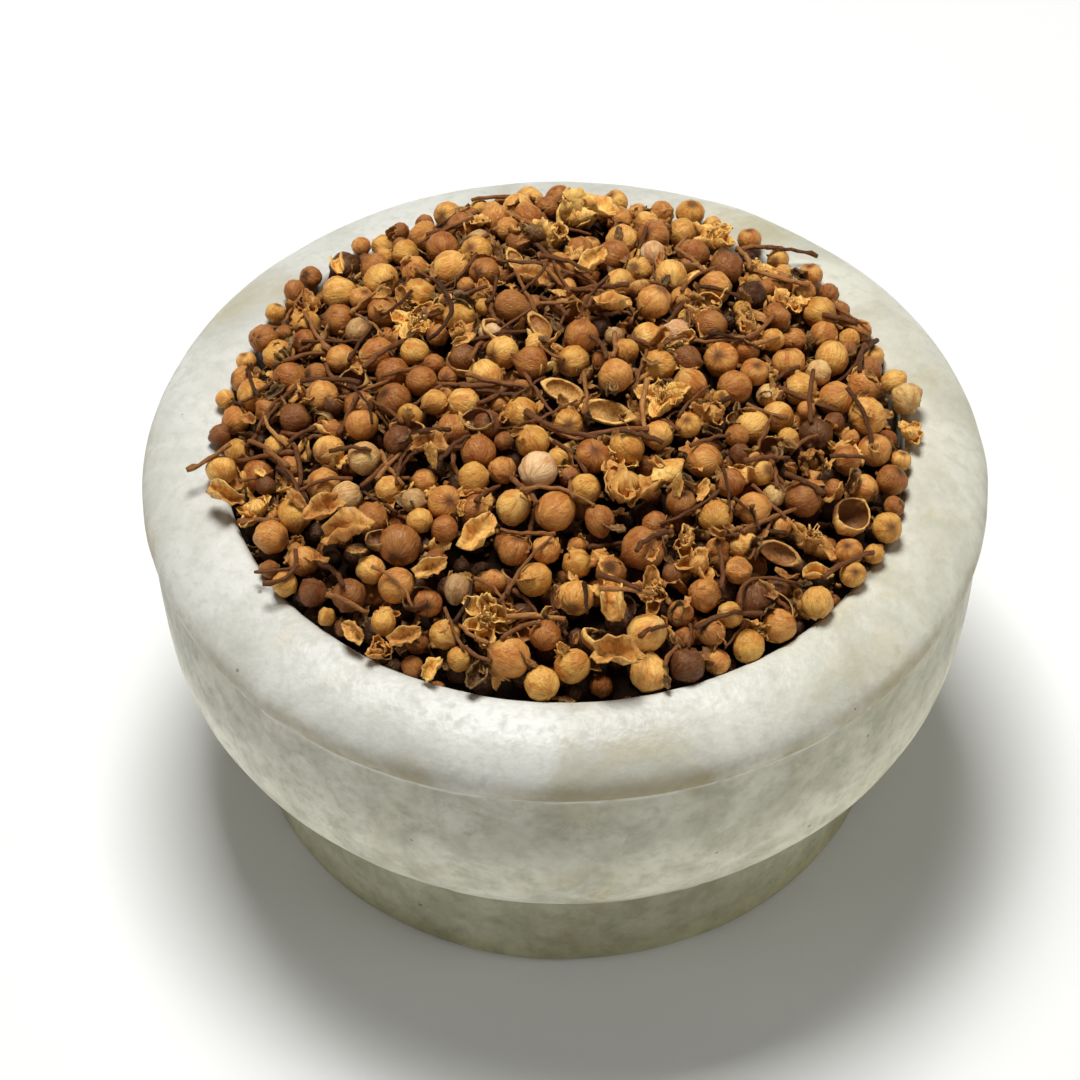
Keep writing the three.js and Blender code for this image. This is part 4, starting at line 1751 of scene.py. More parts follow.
    def settle(self, rounds: int = 60) -> None:
        """Pushes overlapping balls apart, and keeps them on the heap and off the stone.

        Args:
            rounds: How often they are pushed.
        """
        at = np.array([piece.at for piece in self.lying])
        radius = np.array([piece.radius for piece in self.lying])
        heavy = np.array([self.mark_weight if piece.mark else 1.0 for piece in self.lying])
        weight = radius**2 * heavy
        share = weight[None] / (weight[:, None] + weight[None])
        for _ in range(rounds):
            apart = at[:, None] - at[None]
            distance = np.linalg.norm(apart, axis=2) + np.eye(len(at))
            overlap = (radius[:, None] + radius[None]) * self.pressed - distance
            np.fill_diagonal(overlap, 0)
            push = np.where(overlap > 0, overlap * share, 0) / distance
            at += 0.5 * (apart * push[:, :, None]).sum(axis=1)
            floor = np.array([self.core_height(x, y) for x, y in at[:, :2]]) + radius * 0.6
            at[:, 2] = np.maximum(at[:, 2], floor)
            out = np.hypot(at[:, 0], at[:, 1])
            clear = self.clear_of_stone(out, at[:, 2]) - radius - self.gap
            low = at[:, 2] < self.form.bowl.height + radius * np.where(heavy > 1, -0.6, 0.5)
            low |= (out < self.form.bowl.opening_r) & (at[:, 2] < self.form.bowl.height + 0.5 * radius)
            inward = np.where((clear < 0) & low, clear, 0)
            lift = np.where((clear < 0) & ~low, -clear, 0)
            at[:, :2] *= (1 + inward / np.maximum(out, 1 * MM))[:, None]
            at[:, 2] += lift
        for piece, place in zip(self.lying, at):
            piece.at = place

    def line_brim(self, draw: random.Random) -> None:
        """Lays buds along the opening's edge, where the heap spills against the lip.

        Args:
            draw: The seeded source of chance.
        """
        for _ in range(self.brim_tries):
            angle = draw.uniform(0, TAU)
            radius = draw.uniform(self.small_r, 0.85 * self.large_r)
            out = self.form.bowl.opening_r - draw.uniform(0.0, 1.1) * radius
            x, y = out * math.cos(angle), out * math.sin(angle)
            floor = np.array([self.core_height(x, y)])
            z = self.rest(np.array([x]), np.array([y]), radius, floor)[0]
            low = z < self.form.bowl.height + 1.25 * radius
            if low and draw.random() < self.form.brim(x, y):
                colour = draw.choice(BRIM_COLOURS)
                self.lying.append(Lying(Kind.BUD, colour, radius, np.array([x, y, z])))

    def drop(self) -> None:
        """Lowers each ball onto what lies under it, from the lowest up, so that none hangs."""
        order = sorted(self.lying, key=lambda piece: piece.at[2])
        self.lying = []
        sunk = []
        for piece in order:
            x, y, z = piece.at
            floor = np.array([self.core_height(x, y)])
            piece.at[2] = min(z, self.form.ceiling - 1.2 * piece.radius,
                              self.rest(np.array([x]), np.array([y]), piece.radius, floor)[0])
            if piece.mark:
                sunk.append(z - piece.at[2])
            self.lying.append(piece)
        log.info("marked pieces come down by %.2f mm at most", max(sunk) / MM)

    def build(self) -> "HeapLayout":
        """Stacks the whole heap.

        Returns:
            The layout itself, stacked.
        """
        draw = random.Random(self.seed)
        self.let_down(self.deep_count, draw, deep=True)
        deep = len(self.lying)
        self.place_landmarks()
        self.line_brim(draw)
        self.let_down(self.filling_count, draw, deep=False)
        self.settle()
        self.drop()
        self.balls = np.array([[*piece.at, piece.radius] for piece in self.lying])
        log.info("heap of %d round pieces, %d of them deep", len(self.lying), deep)
        return self

    def top(self, x: float, y: float) -> float:
        """Top of whatever lies at a place: a ball, or the ground between balls.

        Args:
            x: Place along X.
            y: Place along Y.

        Returns:
            The height.
        """
        apart = np.hypot(self.balls[:, 0] - x, self.balls[:, 1] - y)
        under = self.balls[apart < self.balls[:, 3]]
        ground = self.core_height(x, y)
        if not len(under):
            return ground
        tops = under[:, 2] + np.sqrt(under[:, 3] ** 2 - apart[apart < self.balls[:, 3]] ** 2)
        return max(ground, float(tops.max()))


# ---- the stone ----


@dataclass
class MarbleMortar:
    """The turned bowl, with the unevenness and the chips that its cutting left."""

    form: BowlForm
    steps_round: int = 400
    seed: int = 3
    wave: float = 0.26 * MM
    ridge_wear: float = 1.3 * MM
    ridge_chips: int = 120
    edge_chips: int = 34
    skirt_chips: int = 30

    def profile(self) -> list[tuple[float, float]]:
        """The stone's outline: foot, cove, belly, ridge, lip, then the hollow to its floor.

        Returns:
            Points of radius and height, from the axis back to the axis.
        """
        form = self.form
        line = [(0.0, 0.0)]
        line += [(r, 0.0) for r in np.linspace(0.4 * form.foot_r, form.foot_r - form.foot_edge, 5)]
        for turn in np.linspace(-math.pi / 2, 0, 5)[1:]:
            line.append((form.foot_r - form.foot_edge * (1 - math.cos(turn)),
                         form.foot_edge * (1 + math.sin(turn))))
        top = form.foot_top_z - form.cove
        for share in np.linspace(0, 1, 20)[1:]:
            line.append((form.foot_r + (form.foot_top_r - form.foot_r) * share,
                         form.foot_edge + (top - form.foot_edge) * share))
        for turn in np.linspace(0, math.pi / 2, 5)[1:]:
            line.append((form.foot_top_r + form.cove * (1 - math.cos(turn)),
                         top + form.cove * math.sin(turn)))
        under_z = (3 * form.foot_top_z + form.skirt_z) / 4
        line += [(r, form.foot_top_z + (under_z - form.foot_top_z) * s) for s, r in zip(
            np.linspace(0, 1, 6)[1:], np.linspace(form.foot_top_r + form.cove,
                                                  form.skirt_r - 1 * MM, 6)[1:])]
        line += self.belly()
        line += self.lip()
        line += form.hollow(0.0, 40, form.height - form.edge_round)[::-1]
        return line

    def belly(self) -> list[tuple[float, float]]:
        """From the crisp skirt edge up the belly to the ridge.

        Returns:
            Points of radius and height, upwards.
        """
        form = self.form
        start = np.array((form.skirt_r, form.skirt_z))
        pull = np.array(form.belly_pull)
        end = np.array((form.rim_r - form.band_in - form.ridge_step, form.ridge_z - form.ridge_step))
        line = [(form.skirt_r - 0.25 * MM, form.skirt_z - 0.8 * MM)]
        for t in np.linspace(0, 1, 36):
            point = (1 - t) ** 2 * start + 2 * t * (1 - t) * pull + t * t * end
            line.append((float(point[0]), float(point[1])))
        ridge_r = form.rim_r - form.band_in
        line.append((ridge_r - 0.25 * MM, form.ridge_z - 0.35 * MM))
        line.append((ridge_r, form.ridge_z))
        line.append((ridge_r - 0.12 * MM, form.ridge_z + 0.5 * MM))
        return line

    def lip(self) -> list[tuple[float, float]]:
        """The rounded lip, from its widest place to the opening's edge.

        Returns:
            Points of radius and height, inwards.
        """
        form = self.form
        line = []
        for turn in np.linspace(-0.12, math.pi / 2, 34):
            line.append((form.opening_r + (form.rim_r - form.opening_r) * math.cos(turn),
                         form.height - form.lip_drop + form.lip_drop * math.sin(turn)))
        return line

    def scoop(self, places: np.ndarray, angle: float, radius: float, z: float, size: float,
              draw: random.Random) -> None:
        """Knocks a chip out of an edge: corners inside a lumpy ball go out to its surface.

        Args:
            places: The stone's corners, which are changed.
            angle: Where the chip lies round the bowl.
            radius: Its middle's distance from the axis.
            z: Its middle's height.
            size: Its radius.
            draw: The seeded source of chance.
        """
        middle = np.array((radius * math.cos(angle), radius * math.sin(angle), z))
        away = places - middle
        stretch = np.array([draw.uniform(0.7, 1.3) for _ in range(3)])
        distance = np.linalg.norm(away / stretch, axis=1)
        inside = distance < size
        if inside.any():
            places[inside] = middle + away[inside] * (size / np.maximum(
                distance[inside], size * 0.25))[:, None]

    def weather(self, piece: bpy.types.Object) -> None:
        """Makes the turned stone uneven, and chips its edges.

        Args:
            piece: The turned stone.
        """
        form = self.form
        places = corners_of(piece)
        for place in places:
            angle = math.atan2(place[1], place[0])
            out = math.hypot(place[0], place[1])
            if out > 1 * MM:
                at = Vector(place)
                swell = noise.noise(at * 45) + 0.5 * noise.noise(at * 120 + Vector((7, 3, 1)))
                flat = 0.0 if place[2] < 0.2 * MM else 1.0
                stray = form.stray(angle) * min(1, out / form.opening_r)
                place[:2] *= 1 + (stray + flat * self.wave * swell) / out
                if abs(place[2] - form.ridge_z) < 0.6 * MM and out > form.opening_r:
                    rough = max(0.0, noise.noise(at * 260) + 0.5 * noise.noise(at * 700))
                    place[:2] *= 1 - self.ridge_wear * rough / out
                place[2] += flat * 0.35 * self.wave * swell * (place[2] < form.height - 1 * MM)
        draw = random.Random(self.seed)
        edge = (form.opening_r - 0.3 * MM, form.height + 0.5 * MM)
        for degrees, size in ((-88, 1.7), (-106, 1.3), (-60, 0.9), (171, 1.0), (95, 1.1)):
            self.scoop(places, math.radians(degrees), *edge, size * MM, draw)
        rows = ((self.edge_chips, edge[0], edge[1], 0.55, 0.95),
                (self.ridge_chips, form.rim_r - form.band_in + 0.35 * MM, form.ridge_z - 0.2 * MM,
                 0.5, 1.1),
                (self.skirt_chips, form.skirt_r + 0.3 * MM, form.skirt_z - 0.9 * MM, 0.5, 1.2))
        for count, radius, z, small, large in rows:
            for _ in range(count):
                size = draw.uniform(small, large) * MM
                self.scoop(places, TAU * draw.random(), radius, z, size, draw)
        move_corners(piece, places)

    def build(self, material: bpy.types.Material) -> None:
        """Models and dresses the bowl, in place of the plain solid.

        Args:
            material: Its finish.
        """
        piece = spun_shell("mortar_stone", self.profile(), self.steps_round)
        self.weather(piece)
        take(piece)
        bpy.ops.object.shade_smooth_by_angle(angle=math.radians(50))
        piece.data.materials.clear()
        piece.data.materials.append(material)
        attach(piece, ROOT)
        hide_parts("mortar")
        log.info("mortar_stone: %d faces", len(piece.data.polygons))


# ---- the heap ----


@dataclass(frozen=True)
class Dressing:
    """How a kind of piece is shown: where it is gathered, as what, and how large for its ball."""

    gathering: JoinedPieces
    shapes: list[Shape]
    size: float = 1.0
    by_its_end: bool = False


@dataclass
class BudHeap:
    """Everything in the bowl: the core, and the loose pieces over it."""

    layout: HeapLayout
    effects: Effects
    seed: int = 11
    loose_stalks: int = 160
    stalk_r: float = 0.41 * MM
    stalk_kink: float = 0.16 * MM
    tries: int = 36
    petals: int = 380
    scraps: int = 560
    opened: int = 30
    crumbs: int = 1200
    dark_depth: float = 4.5 * MM
    claw_lean: tuple[float, float, float] = (0.25, -0.8, 0.45)
    boat_lean: tuple[float, float, float] = (0.0, -0.25, 0.2)

    def __post_init__(self) -> None:
        """Starts the seeded chance and the gatherings, one for each finish."""
        self.camera = self.layout.camera
        self.draw = random.Random(self.seed)
        names = {"ochre": "buds_ochre", "orange": "buds_orange", "brown": "buds_brown",
                 "pale": "buds_pale"}
        self.buds = {finish: JoinedPieces(name) for finish, name in names.items()}
        self.stalks = JoinedPieces("stalks")
        self.petals_made = JoinedPieces("petals")
        self.flowers = JoinedPieces("open_flowers")
        self.husks = JoinedPieces("split_husks")
        self.crumbs_made = JoinedPieces("crumbs")
        self.open_shapes = [LeafBuilder().open_flower(seed) for seed in range(6)]

    def skin_shift(self) -> tuple[float, float, float]:
        """A random place for a piece's pattern to start."""
        return tuple(self.draw.uniform(0, 40) for _ in range(3))

    def any_turn(self) -> Matrix:
        """A random turn."""
        return Euler([self.draw.uniform(0, TAU) for _ in range(3)]).to_matrix()

    def facing(self, direction: Vector, heading: float) -> Matrix:
        """A turn that brings a shape's +Z to this direction, and its +X near the heading."""
        side = direction.cross(Vector((math.cos(heading), math.sin(heading), 0.31))).normalized()
        return Matrix((side.cross(direction), side, direction)).transposed()

    def upward(self, x: float, y: float, lean: float) -> Vector:
        """The heap's normal at a place, leaned by up to this much."""
        normal = self.layout.form.normal(x, y)
        return (normal + Vector([self.draw.uniform(-lean, lean) for _ in range(3)])).normalized()

    def depth_dimming(self, x: float, y: float, z: float) -> float:
        """1 for what lies at the heap's surface, less for what lies deeper below it: painted shade."""
        below = self.layout.form.height(x, y) - z
        return min(1.0, max(0.1, 1.25 - below / self.dark_depth))

    def tone_of(self, piece: Lying) -> float:
        """A piece's tone in its finish, varied a little from piece to piece."""
        tone = piece.colour.value[1 if piece.kind is Kind.BUD else 2]
        if not piece.mark:
            # Painted shade: pieces lying deeper in the heap are drawn darker.
            tone *= self.depth_dimming(*piece.at)
        return min(1.0, max(0.0, tone + self.draw.uniform(-0.16, 0.16)))

    def draped(self, start: Vector, heading: float, length: float, bow: float,
               clear: Optional[float] = None) -> list[Vector]:
        """A stiff line over the heap: it lies on two pieces, or rises from its start over one.

        Args:
            start: Where it starts.
            heading: Its direction seen from above.
            length: Its length.
            bow: How far its middle stands aside.
            clear: Length from its start that touches nothing; None if it lies on two pieces.

        Returns:
            Points along it.
        """
        steps = 9
        bowl = self.layout.form.bowl
        points = []
        tops = []
        for i in range(steps):
            along = i / (steps - 1)
            aside = bow * 4 * along * (1 - along)
            x = start.x + length * along * math.cos(heading) - aside * math.sin(heading)
            y = start.y + length * along * math.sin(heading) + aside * math.cos(heading)
            top = self.layout.top(x, y) + 0.7 * self.stalk_r
            radius = math.hypot(x, y)
            if radius > bowl.opening_r - 1.2 * MM:
                top = max(top, bowl.lip_z(radius) + 1.2 * self.stalk_r)
            points.append(Vector((x, y, 0)))
            tops.append(top)
        step = length / (steps - 1)
        middle = steps // 2
        if clear is None:
            _, low, high = max(
                (tops[i] + (tops[j] - tops[i]) * (middle - i) / (j - i), i, j)
                for i in range(middle + 1) for j in range(middle, steps) if j > i)
            steepest = 0.35 * step
            slope = max(-steepest, min(steepest, (tops[high] - tops[low]) / (high - low)))
            level = max(top - slope * (i - middle) for i, top in enumerate(tops))
        else:
            slope = max((top - start.z) / i for i, top in enumerate(tops) if i * step > clear)
            level = start.z + slope * middle
        for i, point in enumerate(points):
            point.z = level + slope * (i - middle)
        return points

    def rides_high(self, path: Sequence[Vector]) -> float:
        """How high a path lies over the heap's surface, by its highest and its other points."""
        form = self.layout.form
        over = [point.z - form.height(point.x, point.y) for point in path]
        return max(over) + sum(over) / len(over)

    def lowest_path(self, tries: Sequence[list[Vector]]) -> Optional[list[Vector]]:
        """The path that lies lowest among those that keep off the stone."""
        inner = self.layout.form.bowl.opening_r - 0.5 * MM
        clear = [path for path in tries
                 if self.clears_stone(path) and math.hypot(path[-1].x, path[-1].y) < inner]
        return min(clear, key=self.rides_high) if clear else None

    def add_stalk(self, path: list[Vector], tone: float, knob: bool) -> None:
        """Adds a stalk along a path, bent a little and thinner towards its far end.

        Args:
            path: Its middle line.
            tone: Its tone.
            knob: Whether its far end is thickened.
        """
        radius = self.stalk_r * self.draw.uniform(0.6, 1.15)
        count = len(path)
        taper = self.draw.uniform(0.0, 0.45)
        radii = [radius * (1.1 - taper * i / (count - 1)) * self.draw.uniform(0.9, 1.12)
                 for i in range(count)]
        if knob:
            radii[-1] *= 1.4
            radii[-2] *= 1.7
        stray = self.stalk_kink
        bent = [path[0], *(point + Vector([self.draw.uniform(-stray, stray) for _ in range(3)])
                           for point in path[1:])]
        shape = tube(bent, radii, 6)
        self.stalks.add(shape, Matrix.Identity(3), (0, 0, 0), 1.0, tone, self.skin_shift())

    def clears_stone(self, path: Sequence[Vector]) -> bool:
        """Whether a stalk along this path keeps off the stone and under the ceiling."""
        radius = np.array([math.hypot(p.x, p.y) for p in path])
        height = np.array([p.z for p in path])
        clear = (self.layout.clear_of_stone(radius, height) > self.stalk_r).all()
        return bool(clear and height.max() < self.layout.form.ceiling - 2 * self.stalk_r)

    def dressings(self) -> dict[Kind, Dressing]:
        """How each kind of piece but the round buds is shown.

        Returns:
            The dressings, by kind.
        """
        leaves = LeafBuilder()
        roses = [leaves.rose(seed) for seed in range(2)]
        claws = [leaves.claw(seed) for seed in range(2)]
        cups = [leaves.husk(seed, 1.0, 0.35) for seed in range(50, 53)]
        boats = [leaves.husk(seed, 1.9, 0.0, 0.17, 0.4) for seed in range(53, 55)]
        petals = [leaves.petal(70, 0.55, 0.8, 0.5), leaves.petal(71, 0.8, 0.65, 0.3),
                  leaves.petal(72, 0.4, 0.7, 0.8)]
        leaf = leaves.petal(75, -0.25, 0.55, -0.2, pointed=True)
        return {
            Kind.OPEN: Dressing(self.flowers, self.open_shapes, 1.05),
            Kind.ROSE: Dressing(self.flowers, roses, 1.1),
            Kind.CLAW: Dressing(self.flowers, claws),
            Kind.CUP: Dressing(self.husks, cups),
            Kind.BOAT: Dressing(self.husks, boats, 0.58),
            Kind.LEAF: Dressing(self.petals_made, [leaf], by_its_end=True),
            Kind.PETAL: Dressing(self.petals_made, petals, by_its_end=True),
        }

    def add_buds(self) -> None:
        """Dresses each ball of the layout as what it is."""
        fine = BudBuilder().shapes()
        coarse = BudBuilder(10, 6)
        deep = [coarse.shrunken_bud(90), coarse.shrunken_bud(91)]
        dressings = self.dressings()
        for piece in self.layout.lying:
            x, y, _ = piece.at
            up = self.upward(x, y, 0.35)
            tone = self.tone_of(piece)
            spin = self.draw.uniform(0, TAU)
            if piece.heading is not None:
                spin = piece.heading
                up = self.upward(x, y, 0.1)
            shift = self.skin_shift()
            if piece.kind is Kind.BUD:
                self.add_bud(piece, fine, deep, tone, shift)
            else:
                self.add_dressed(piece, dressings[piece.kind], up, spin, tone, shift)

    def add_dressed(self, piece: Lying, dressing: Dressing, up: Vector, spin: float, tone: float,
                    shift: tuple[float, float, float]) -> None:
        """Adds one piece that isn't a round bud.

        Args:
            piece: The piece.
            dressing: How its kind is shown.
            up: Which way its +Z points.
            spin: Its heading.
            tone: Its tone.
            shift: Where its pattern starts.
        """
        shapes = dressing.shapes
        shape = self.draw.choice(shapes) if len(shapes) > 1 else shapes[0]
        if piece.kind is Kind.CLAW:
            up = Vector(self.claw_lean).normalized()
        elif piece.kind is Kind.BOAT:
            up = (up + Vector(self.boat_lean)).normalized()
        elif piece.kind is Kind.LEAF:
            spin -= math.pi / 2
        turn = self.facing(up, spin)
        at = piece.at
        if dressing.by_its_end:
            at = Vector(at) - turn @ Vector((0, piece.radius, 0))
        dressing.gathering.add(shape, turn, at, piece.radius * dressing.size, tone, shift)

    def add_bud(self, piece: Lying, fine: dict[str, list[Shape]], deep: list[Shape], tone: float,
                shift: tuple[float, float, float]) -> None:
        """Adds one bud, and its stalk where it has one.

        Args:
            piece: The bud's ball.
            fine: Shapes for buds that show, by kind.
            deep: Shapes for buds that lie deep.
            tone: Its tone.
            shift: Where its pattern starts.
        """
        gathering = self.buds[piece.colour.value[0]]
        if piece.deep:
            # Painted shade: a bud deep in the heap is drawn nearly black.
            gathering.add(self.draw.choice(deep), self.any_turn(), piece.at, piece.radius,
                          tone * 0.08, shift)
            return
        sort = self.draw.choices(["round", "scarred", "necked", "sepalled", "shrunken"],
                                 [40, 15, 26, 9, 10])[0]
        shape = self.draw.choice(fine[sort])
        if sort != "necked":
            turn = self.any_turn() if sort != "scarred" else self.facing(
                self.upward(piece.at[0], piece.at[1], 0.8), self.draw.uniform(0, TAU))
            gathering.add(shape, turn, piece.at, piece.radius, tone, shift)
            return
        path = self.bud_stalk(piece)
        if path is None or self.draw.random() > 0.6:
            heading = self.draw.uniform(0, TAU)
            way = Vector((math.cos(heading), math.sin(heading), self.draw.uniform(-0.2, 0.5)))
            gathering.add(shape, self.facing(way.normalized(), 0), piece.at, piece.radius, tone,
                          shift)
            return
        way = (path[1] - path[0]).normalized()
        gathering.add(shape, self.facing(way, 0), piece.at, piece.radius, tone, shift)
        self.add_stalk(path, self.draw.triangular(0.2, 1.0, 0.6), knob=False)

    def bud_stalk(self, piece: Lying) -> Optional[list[Vector]]:
        """The stalk that a necked bud hangs on, in the direction where it lies lowest.

        Args:
            piece: The bud's ball.

        Returns:
            Points along it, or None if none keeps clear.
        """
        middle = Vector(piece.at)
        length = self.draw.uniform(4, 8.5) * MM
        paths = []
        for _ in range(self.tries):
            heading = self.draw.uniform(0, TAU)
            flat = Vector((math.cos(heading), math.sin(heading), 0))
            bow = self.draw.uniform(-0.1, 0.1) * length
            path = self.draped(middle + flat * piece.radius, heading, length, bow,
                               1.2 * piece.radius)
            rise = (path[-1].z - path[0].z) / length
            if abs(rise) < 0.7:
                way = (flat + Vector((0, 0, rise))).normalized()
                shift = middle + way * piece.radius * 1.2 - path[0]
                paths.append([point + shift for point in path])
        return self.lowest_path(paths)

    def add_loose_stalks(self) -> None:
        """Lays loose stalks over the heap, and a few out over the lip."""
        opening = self.layout.form.bowl.opening_r
        for _ in range(self.loose_stalks):
            length = self.draw.triangular(4, 13, 6.5) * MM
            paths = []
            for _ in range(self.tries):
                out = opening * math.sqrt(self.draw.random()) * 0.96
                angle = self.draw.uniform(0, TAU)
                start = Vector((out * math.cos(angle), out * math.sin(angle), 0))
                start.z = self.layout.top(start.x, start.y) + 0.3 * MM
                bow = self.draw.uniform(-0.09, 0.09) * length
                clear = self.draw.choice((None, 0.0))
                path = self.draped(start, self.draw.uniform(0, TAU), length, bow, clear)
                if abs(path[-1].z - path[0].z) < 0.35 * length:
                    paths.append(path)
            path = self.lowest_path(paths)
            if path is not None:
                self.add_stalk(path, self.draw.triangular(0, 1, 0.4),
                               knob=self.draw.random() < 0.25)
        for mark in stalk_marks():
            start = self.camera.on_heap(mark.from_x, mark.from_y, self.layout.form, 1.0 * MM)
            end = self.camera.on_heap(mark.to_x, mark.to_y, self.layout.form, 1.0 * MM)
            way = (end - start).to_2d()
            path = self.draped(start, math.atan2(way.y, way.x), way.length, mark.bow * way.length)
            if self.clears_stone(path):
                self.add_stalk(path, mark.tone, mark.knob)

    def scatter(self, gathering: JoinedPieces, shapes: list[Shape], count: int,
                sizes: tuple[float, float], lean: float, lift: float, tries: int,
                darkest: float = 0.0) -> None:
        """Scatters flat or small pieces over the heap.

        Args:
            gathering: Where they go.
            shapes: What they may be.
            count: How many.
            sizes: Smallest and largest radius, in metres.
            lean: How far they lean from lying flat.
            lift: How far their middles lie above what is under them, in metres.
            tries: Number of spots compared for each; the lowest is taken.
            darkest: Their lowest tone.
        """
        opening = self.layout.form.bowl.opening_r
        for _ in range(count):
            size = self.draw.uniform(*sizes)
            spots = []
            for _ in range(tries):
                out = (opening - size - 0.6 * MM) * math.sqrt(self.draw.random())
                angle = self.draw.uniform(0, TAU)
                x, y = out * math.cos(angle), out * math.sin(angle)
                around = [self.layout.top(x + size * 0.6 * dx, y + size * 0.6 * dy)
                          for dx, dy in ((0, 0), (1, 0), (-1, 0), (0, 1), (0, -1))]
                z = sum(sorted(around)[1:4]) / 3
                spots.append((z - self.layout.form.height(x, y), x, y, z))
            _, x, y, z = min(spots)
            z = min(z + lift, self.layout.form.ceiling - 1.5 * size)
            # Painted shade: pieces lying deeper in the heap are drawn darker.
            tone = (darkest + (1 - darkest) * self.draw.random() ** 1.5) * self.depth_dimming(x, y, z)
            gathering.add(self.draw.choice(shapes),
                          self.facing(self.upward(x, y, lean), self.draw.uniform(0, TAU)),
                          (x, y, z), size, tone, self.skin_shift())

    def add_loose_bits(self) -> None:
        """Adds the petals, scraps, husks and crumbs between and over the buds."""
        leaves = LeafBuilder()
        petal_shapes = [leaves.petal(seed, 0.3 + 0.25 * (seed % 3), 0.5 + 0.15 * (seed % 2),
                                     0.25 * (seed % 4)) for seed in range(100, 110)]
        scrap_shapes = [leaves.scrap(seed) for seed in range(110, 120)]
        husk_shapes = [leaves.husk(seed, 1.0 + 0.3 * (seed % 2), 0.2) for seed in range(120, 124)]
        crumb_shapes = [leaves.crumb(seed) for seed in range(130, 134)]
        self.scatter(self.flowers, self.open_shapes, self.opened, (1.9 * MM, 3.0 * MM), 0.8,
                     0.5 * MM, 5, 0.35)
        self.scatter(self.petals_made, petal_shapes, self.petals, (1.0 * MM, 2.2 * MM), 0.9,
                     -0.3 * MM, 2)
        self.scatter(self.petals_made, scrap_shapes, self.scraps, (0.9 * MM, 2.1 * MM), 1.2,
                     -0.3 * MM, 4)
        self.scatter(self.husks, husk_shapes, 40, (1.7 * MM, 2.5 * MM), 0.8, 0.1 * MM, 3)
        self.scatter(self.crumbs_made, crumb_shapes, self.crumbs, (0.25 * MM, 0.8 * MM), 1.0,
                     0.0, 8)

    def core(self, material: bpy.types.Material) -> None:
        """Models and dresses the closed core under the loose pieces, with relief of their size; its
        near-black finish is painted shade.

        Args:
            material: Its finish.
        """
        layout = self.layout
        bowl = layout.form.bowl
        edge_z = bowl.height - layout.form.edge_drop - layout.core_depth
        under = bowl.hollow(0.4 * MM, 16, edge_z)
        edge_r = under[-1][0]
        over = [(edge_r * (1 - share), bowl.height) for share in np.linspace(0, 1, 40)[1:]]
        piece = spun_shell("heap_core", under + over, 120)
        places = corners_of(piece)
        for place in places:
            if place[2] > (edge_z + bowl.height) / 2:
                bump = noise.noise(Vector((place[0], place[1], 0.0)) * 330)
                place[2] = layout.core_height(place[0], place[1]) + 1.2 * MM * bump
        move_corners(piece, places)
        take(piece)
        bpy.ops.object.shade_smooth()
        mesh = piece.data
        keep_values(mesh, "tone", np.full(len(places), 0.1))
        keep_values(mesh, "shade", np.full(len(places), 0.6))
        keep_values(mesh, "skin", corners_of(piece) / (2.5 * MM))
        mesh.materials.clear()
        mesh.materials.append(material)
        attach(piece, ROOT)
        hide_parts("heap")
        log.info("heap_core: %d faces", len(mesh.polygons))

    def finishes(self) -> dict[str, PlantFinish]:
        """The finish of each kind of piece.

        Returns:
            The finishes, by what wears them.
        """
        dark_and_shade = (0.15, 0.050, 0.022)
        return {
            "ochre": PlantFinish("ochre_bud", ((0.53, 0.235, 0.047), (0.73, 0.385, 0.080),
                                               (0.90, 0.52, 0.140)), dark_and_shade, (0.74, 0.50, 0.36),
                                 (0.88, 0.60, 0.21)),
            "orange": PlantFinish("orange_bud", ((0.35, 0.118, 0.029), (0.58, 0.250, 0.060),
                                                 (0.78, 0.39, 0.100)), dark_and_shade, (0.72, 0.48, 0.38),
                                  (0.82, 0.49, 0.15)),
            "brown": PlantFinish("brown_bud", ((0.045, 0.017, 0.009), (0.20, 0.074, 0.026),
                                               (0.47, 0.190, 0.046)), (0.04, 0.016, 0.009),
                                 (0.72, 0.52, 0.44), (0.42, 0.22, 0.09)),
            "pale": PlantFinish("pale_bud", ((0.46, 0.285, 0.115), (0.74, 0.49, 0.165),
                                             (0.82, 0.54, 0.29)), (0.30, 0.12, 0.05),
                                (0.76, 0.54, 0.42), (0.90, 0.68, 0.42)),
            "stalk": PlantFinish("stalk_bark", ((0.034, 0.014, 0.009), (0.23, 0.090, 0.034),
                                                (0.62, 0.31, 0.100)), (0.06, 0.022, 0.010),
                                 (0.76, 0.55, 0.42), (0.46, 0.24, 0.10), streaks=2.5,
                                 roughness=0.55, gloss=0.2),
            "petal": PlantFinish("petal_skin", ((0.045, 0.017, 0.009), (0.52, 0.230, 0.052),
                                                (0.95, 0.60, 0.165)), dark_and_shade, (0.74, 0.50, 0.34),
                                 (0.90, 0.58, 0.20), streaks=5.0, streak_depth=0.5,
                                 dotted=0.0, roughness=0.45, relief=0.35),
            # Painted shade: the core's near-black colour stands for the shade deep between the pieces.
            "core": PlantFinish("core_litter", ((0.012, 0.005, 0.003), (0.04, 0.015, 0.006)),
                                (0.012, 0.005, 0.003), (0.7, 0.6, 0.5), (0.06, 0.025, 0.01),
                                roughness=0.95),
        }

    def build(self) -> None:
        """Models, lays and dresses everything in the bowl."""
        made = {key: finish.build(self.effects) for key, finish in self.finishes().items()}
        self.core(made["core"])
        self.add_buds()
        self.add_loose_stalks()
        self.add_loose_bits()
        for finish, gathering in (*self.buds.items(), ("stalk", self.stalks),
                                  ("petal", self.petals_made), ("petal", self.flowers),
                                  ("petal", self.husks), ("petal", self.crumbs_made)):
            gathering.build(made[finish], "dried_buds")


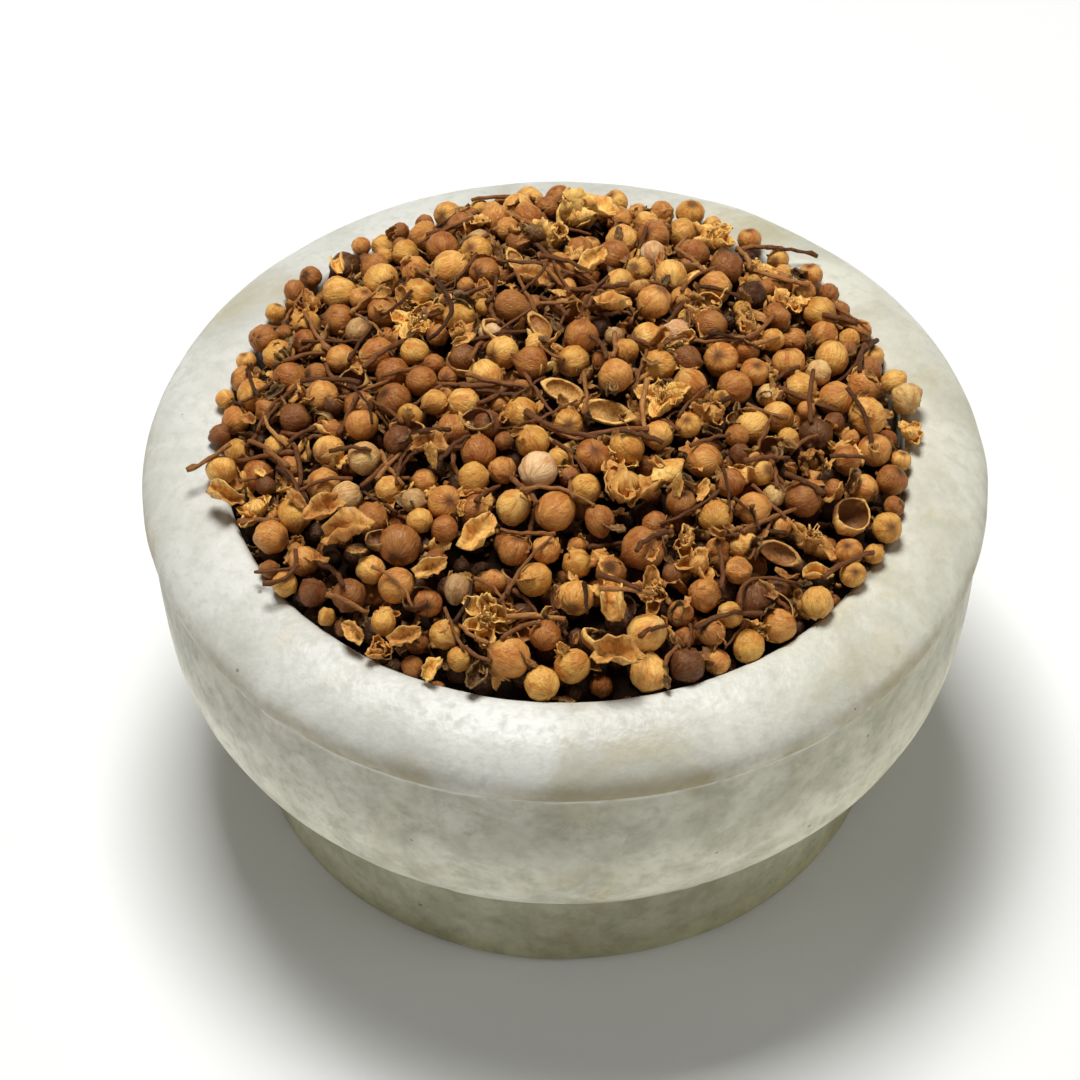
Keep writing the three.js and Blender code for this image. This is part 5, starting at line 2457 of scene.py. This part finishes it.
def main() -> None:
    """Builds the camera, the studio, the stone and the heap, in that order."""
    logging.basicConfig(level=logging.INFO, format="%(name)s: %(message)s")
    bowl = BowlForm()
    camera = PhotoCamera(bowl)
    camera.build()
    Studio().build()
    effects = Effects()
    MarbleMortar(bowl).build(MarbleFinish().build(effects, bowl))
    layout = HeapLayout(HeapForm(bowl), camera).build()
    BudHeap(layout, effects).build()


if __name__ == "__main__":
    main()
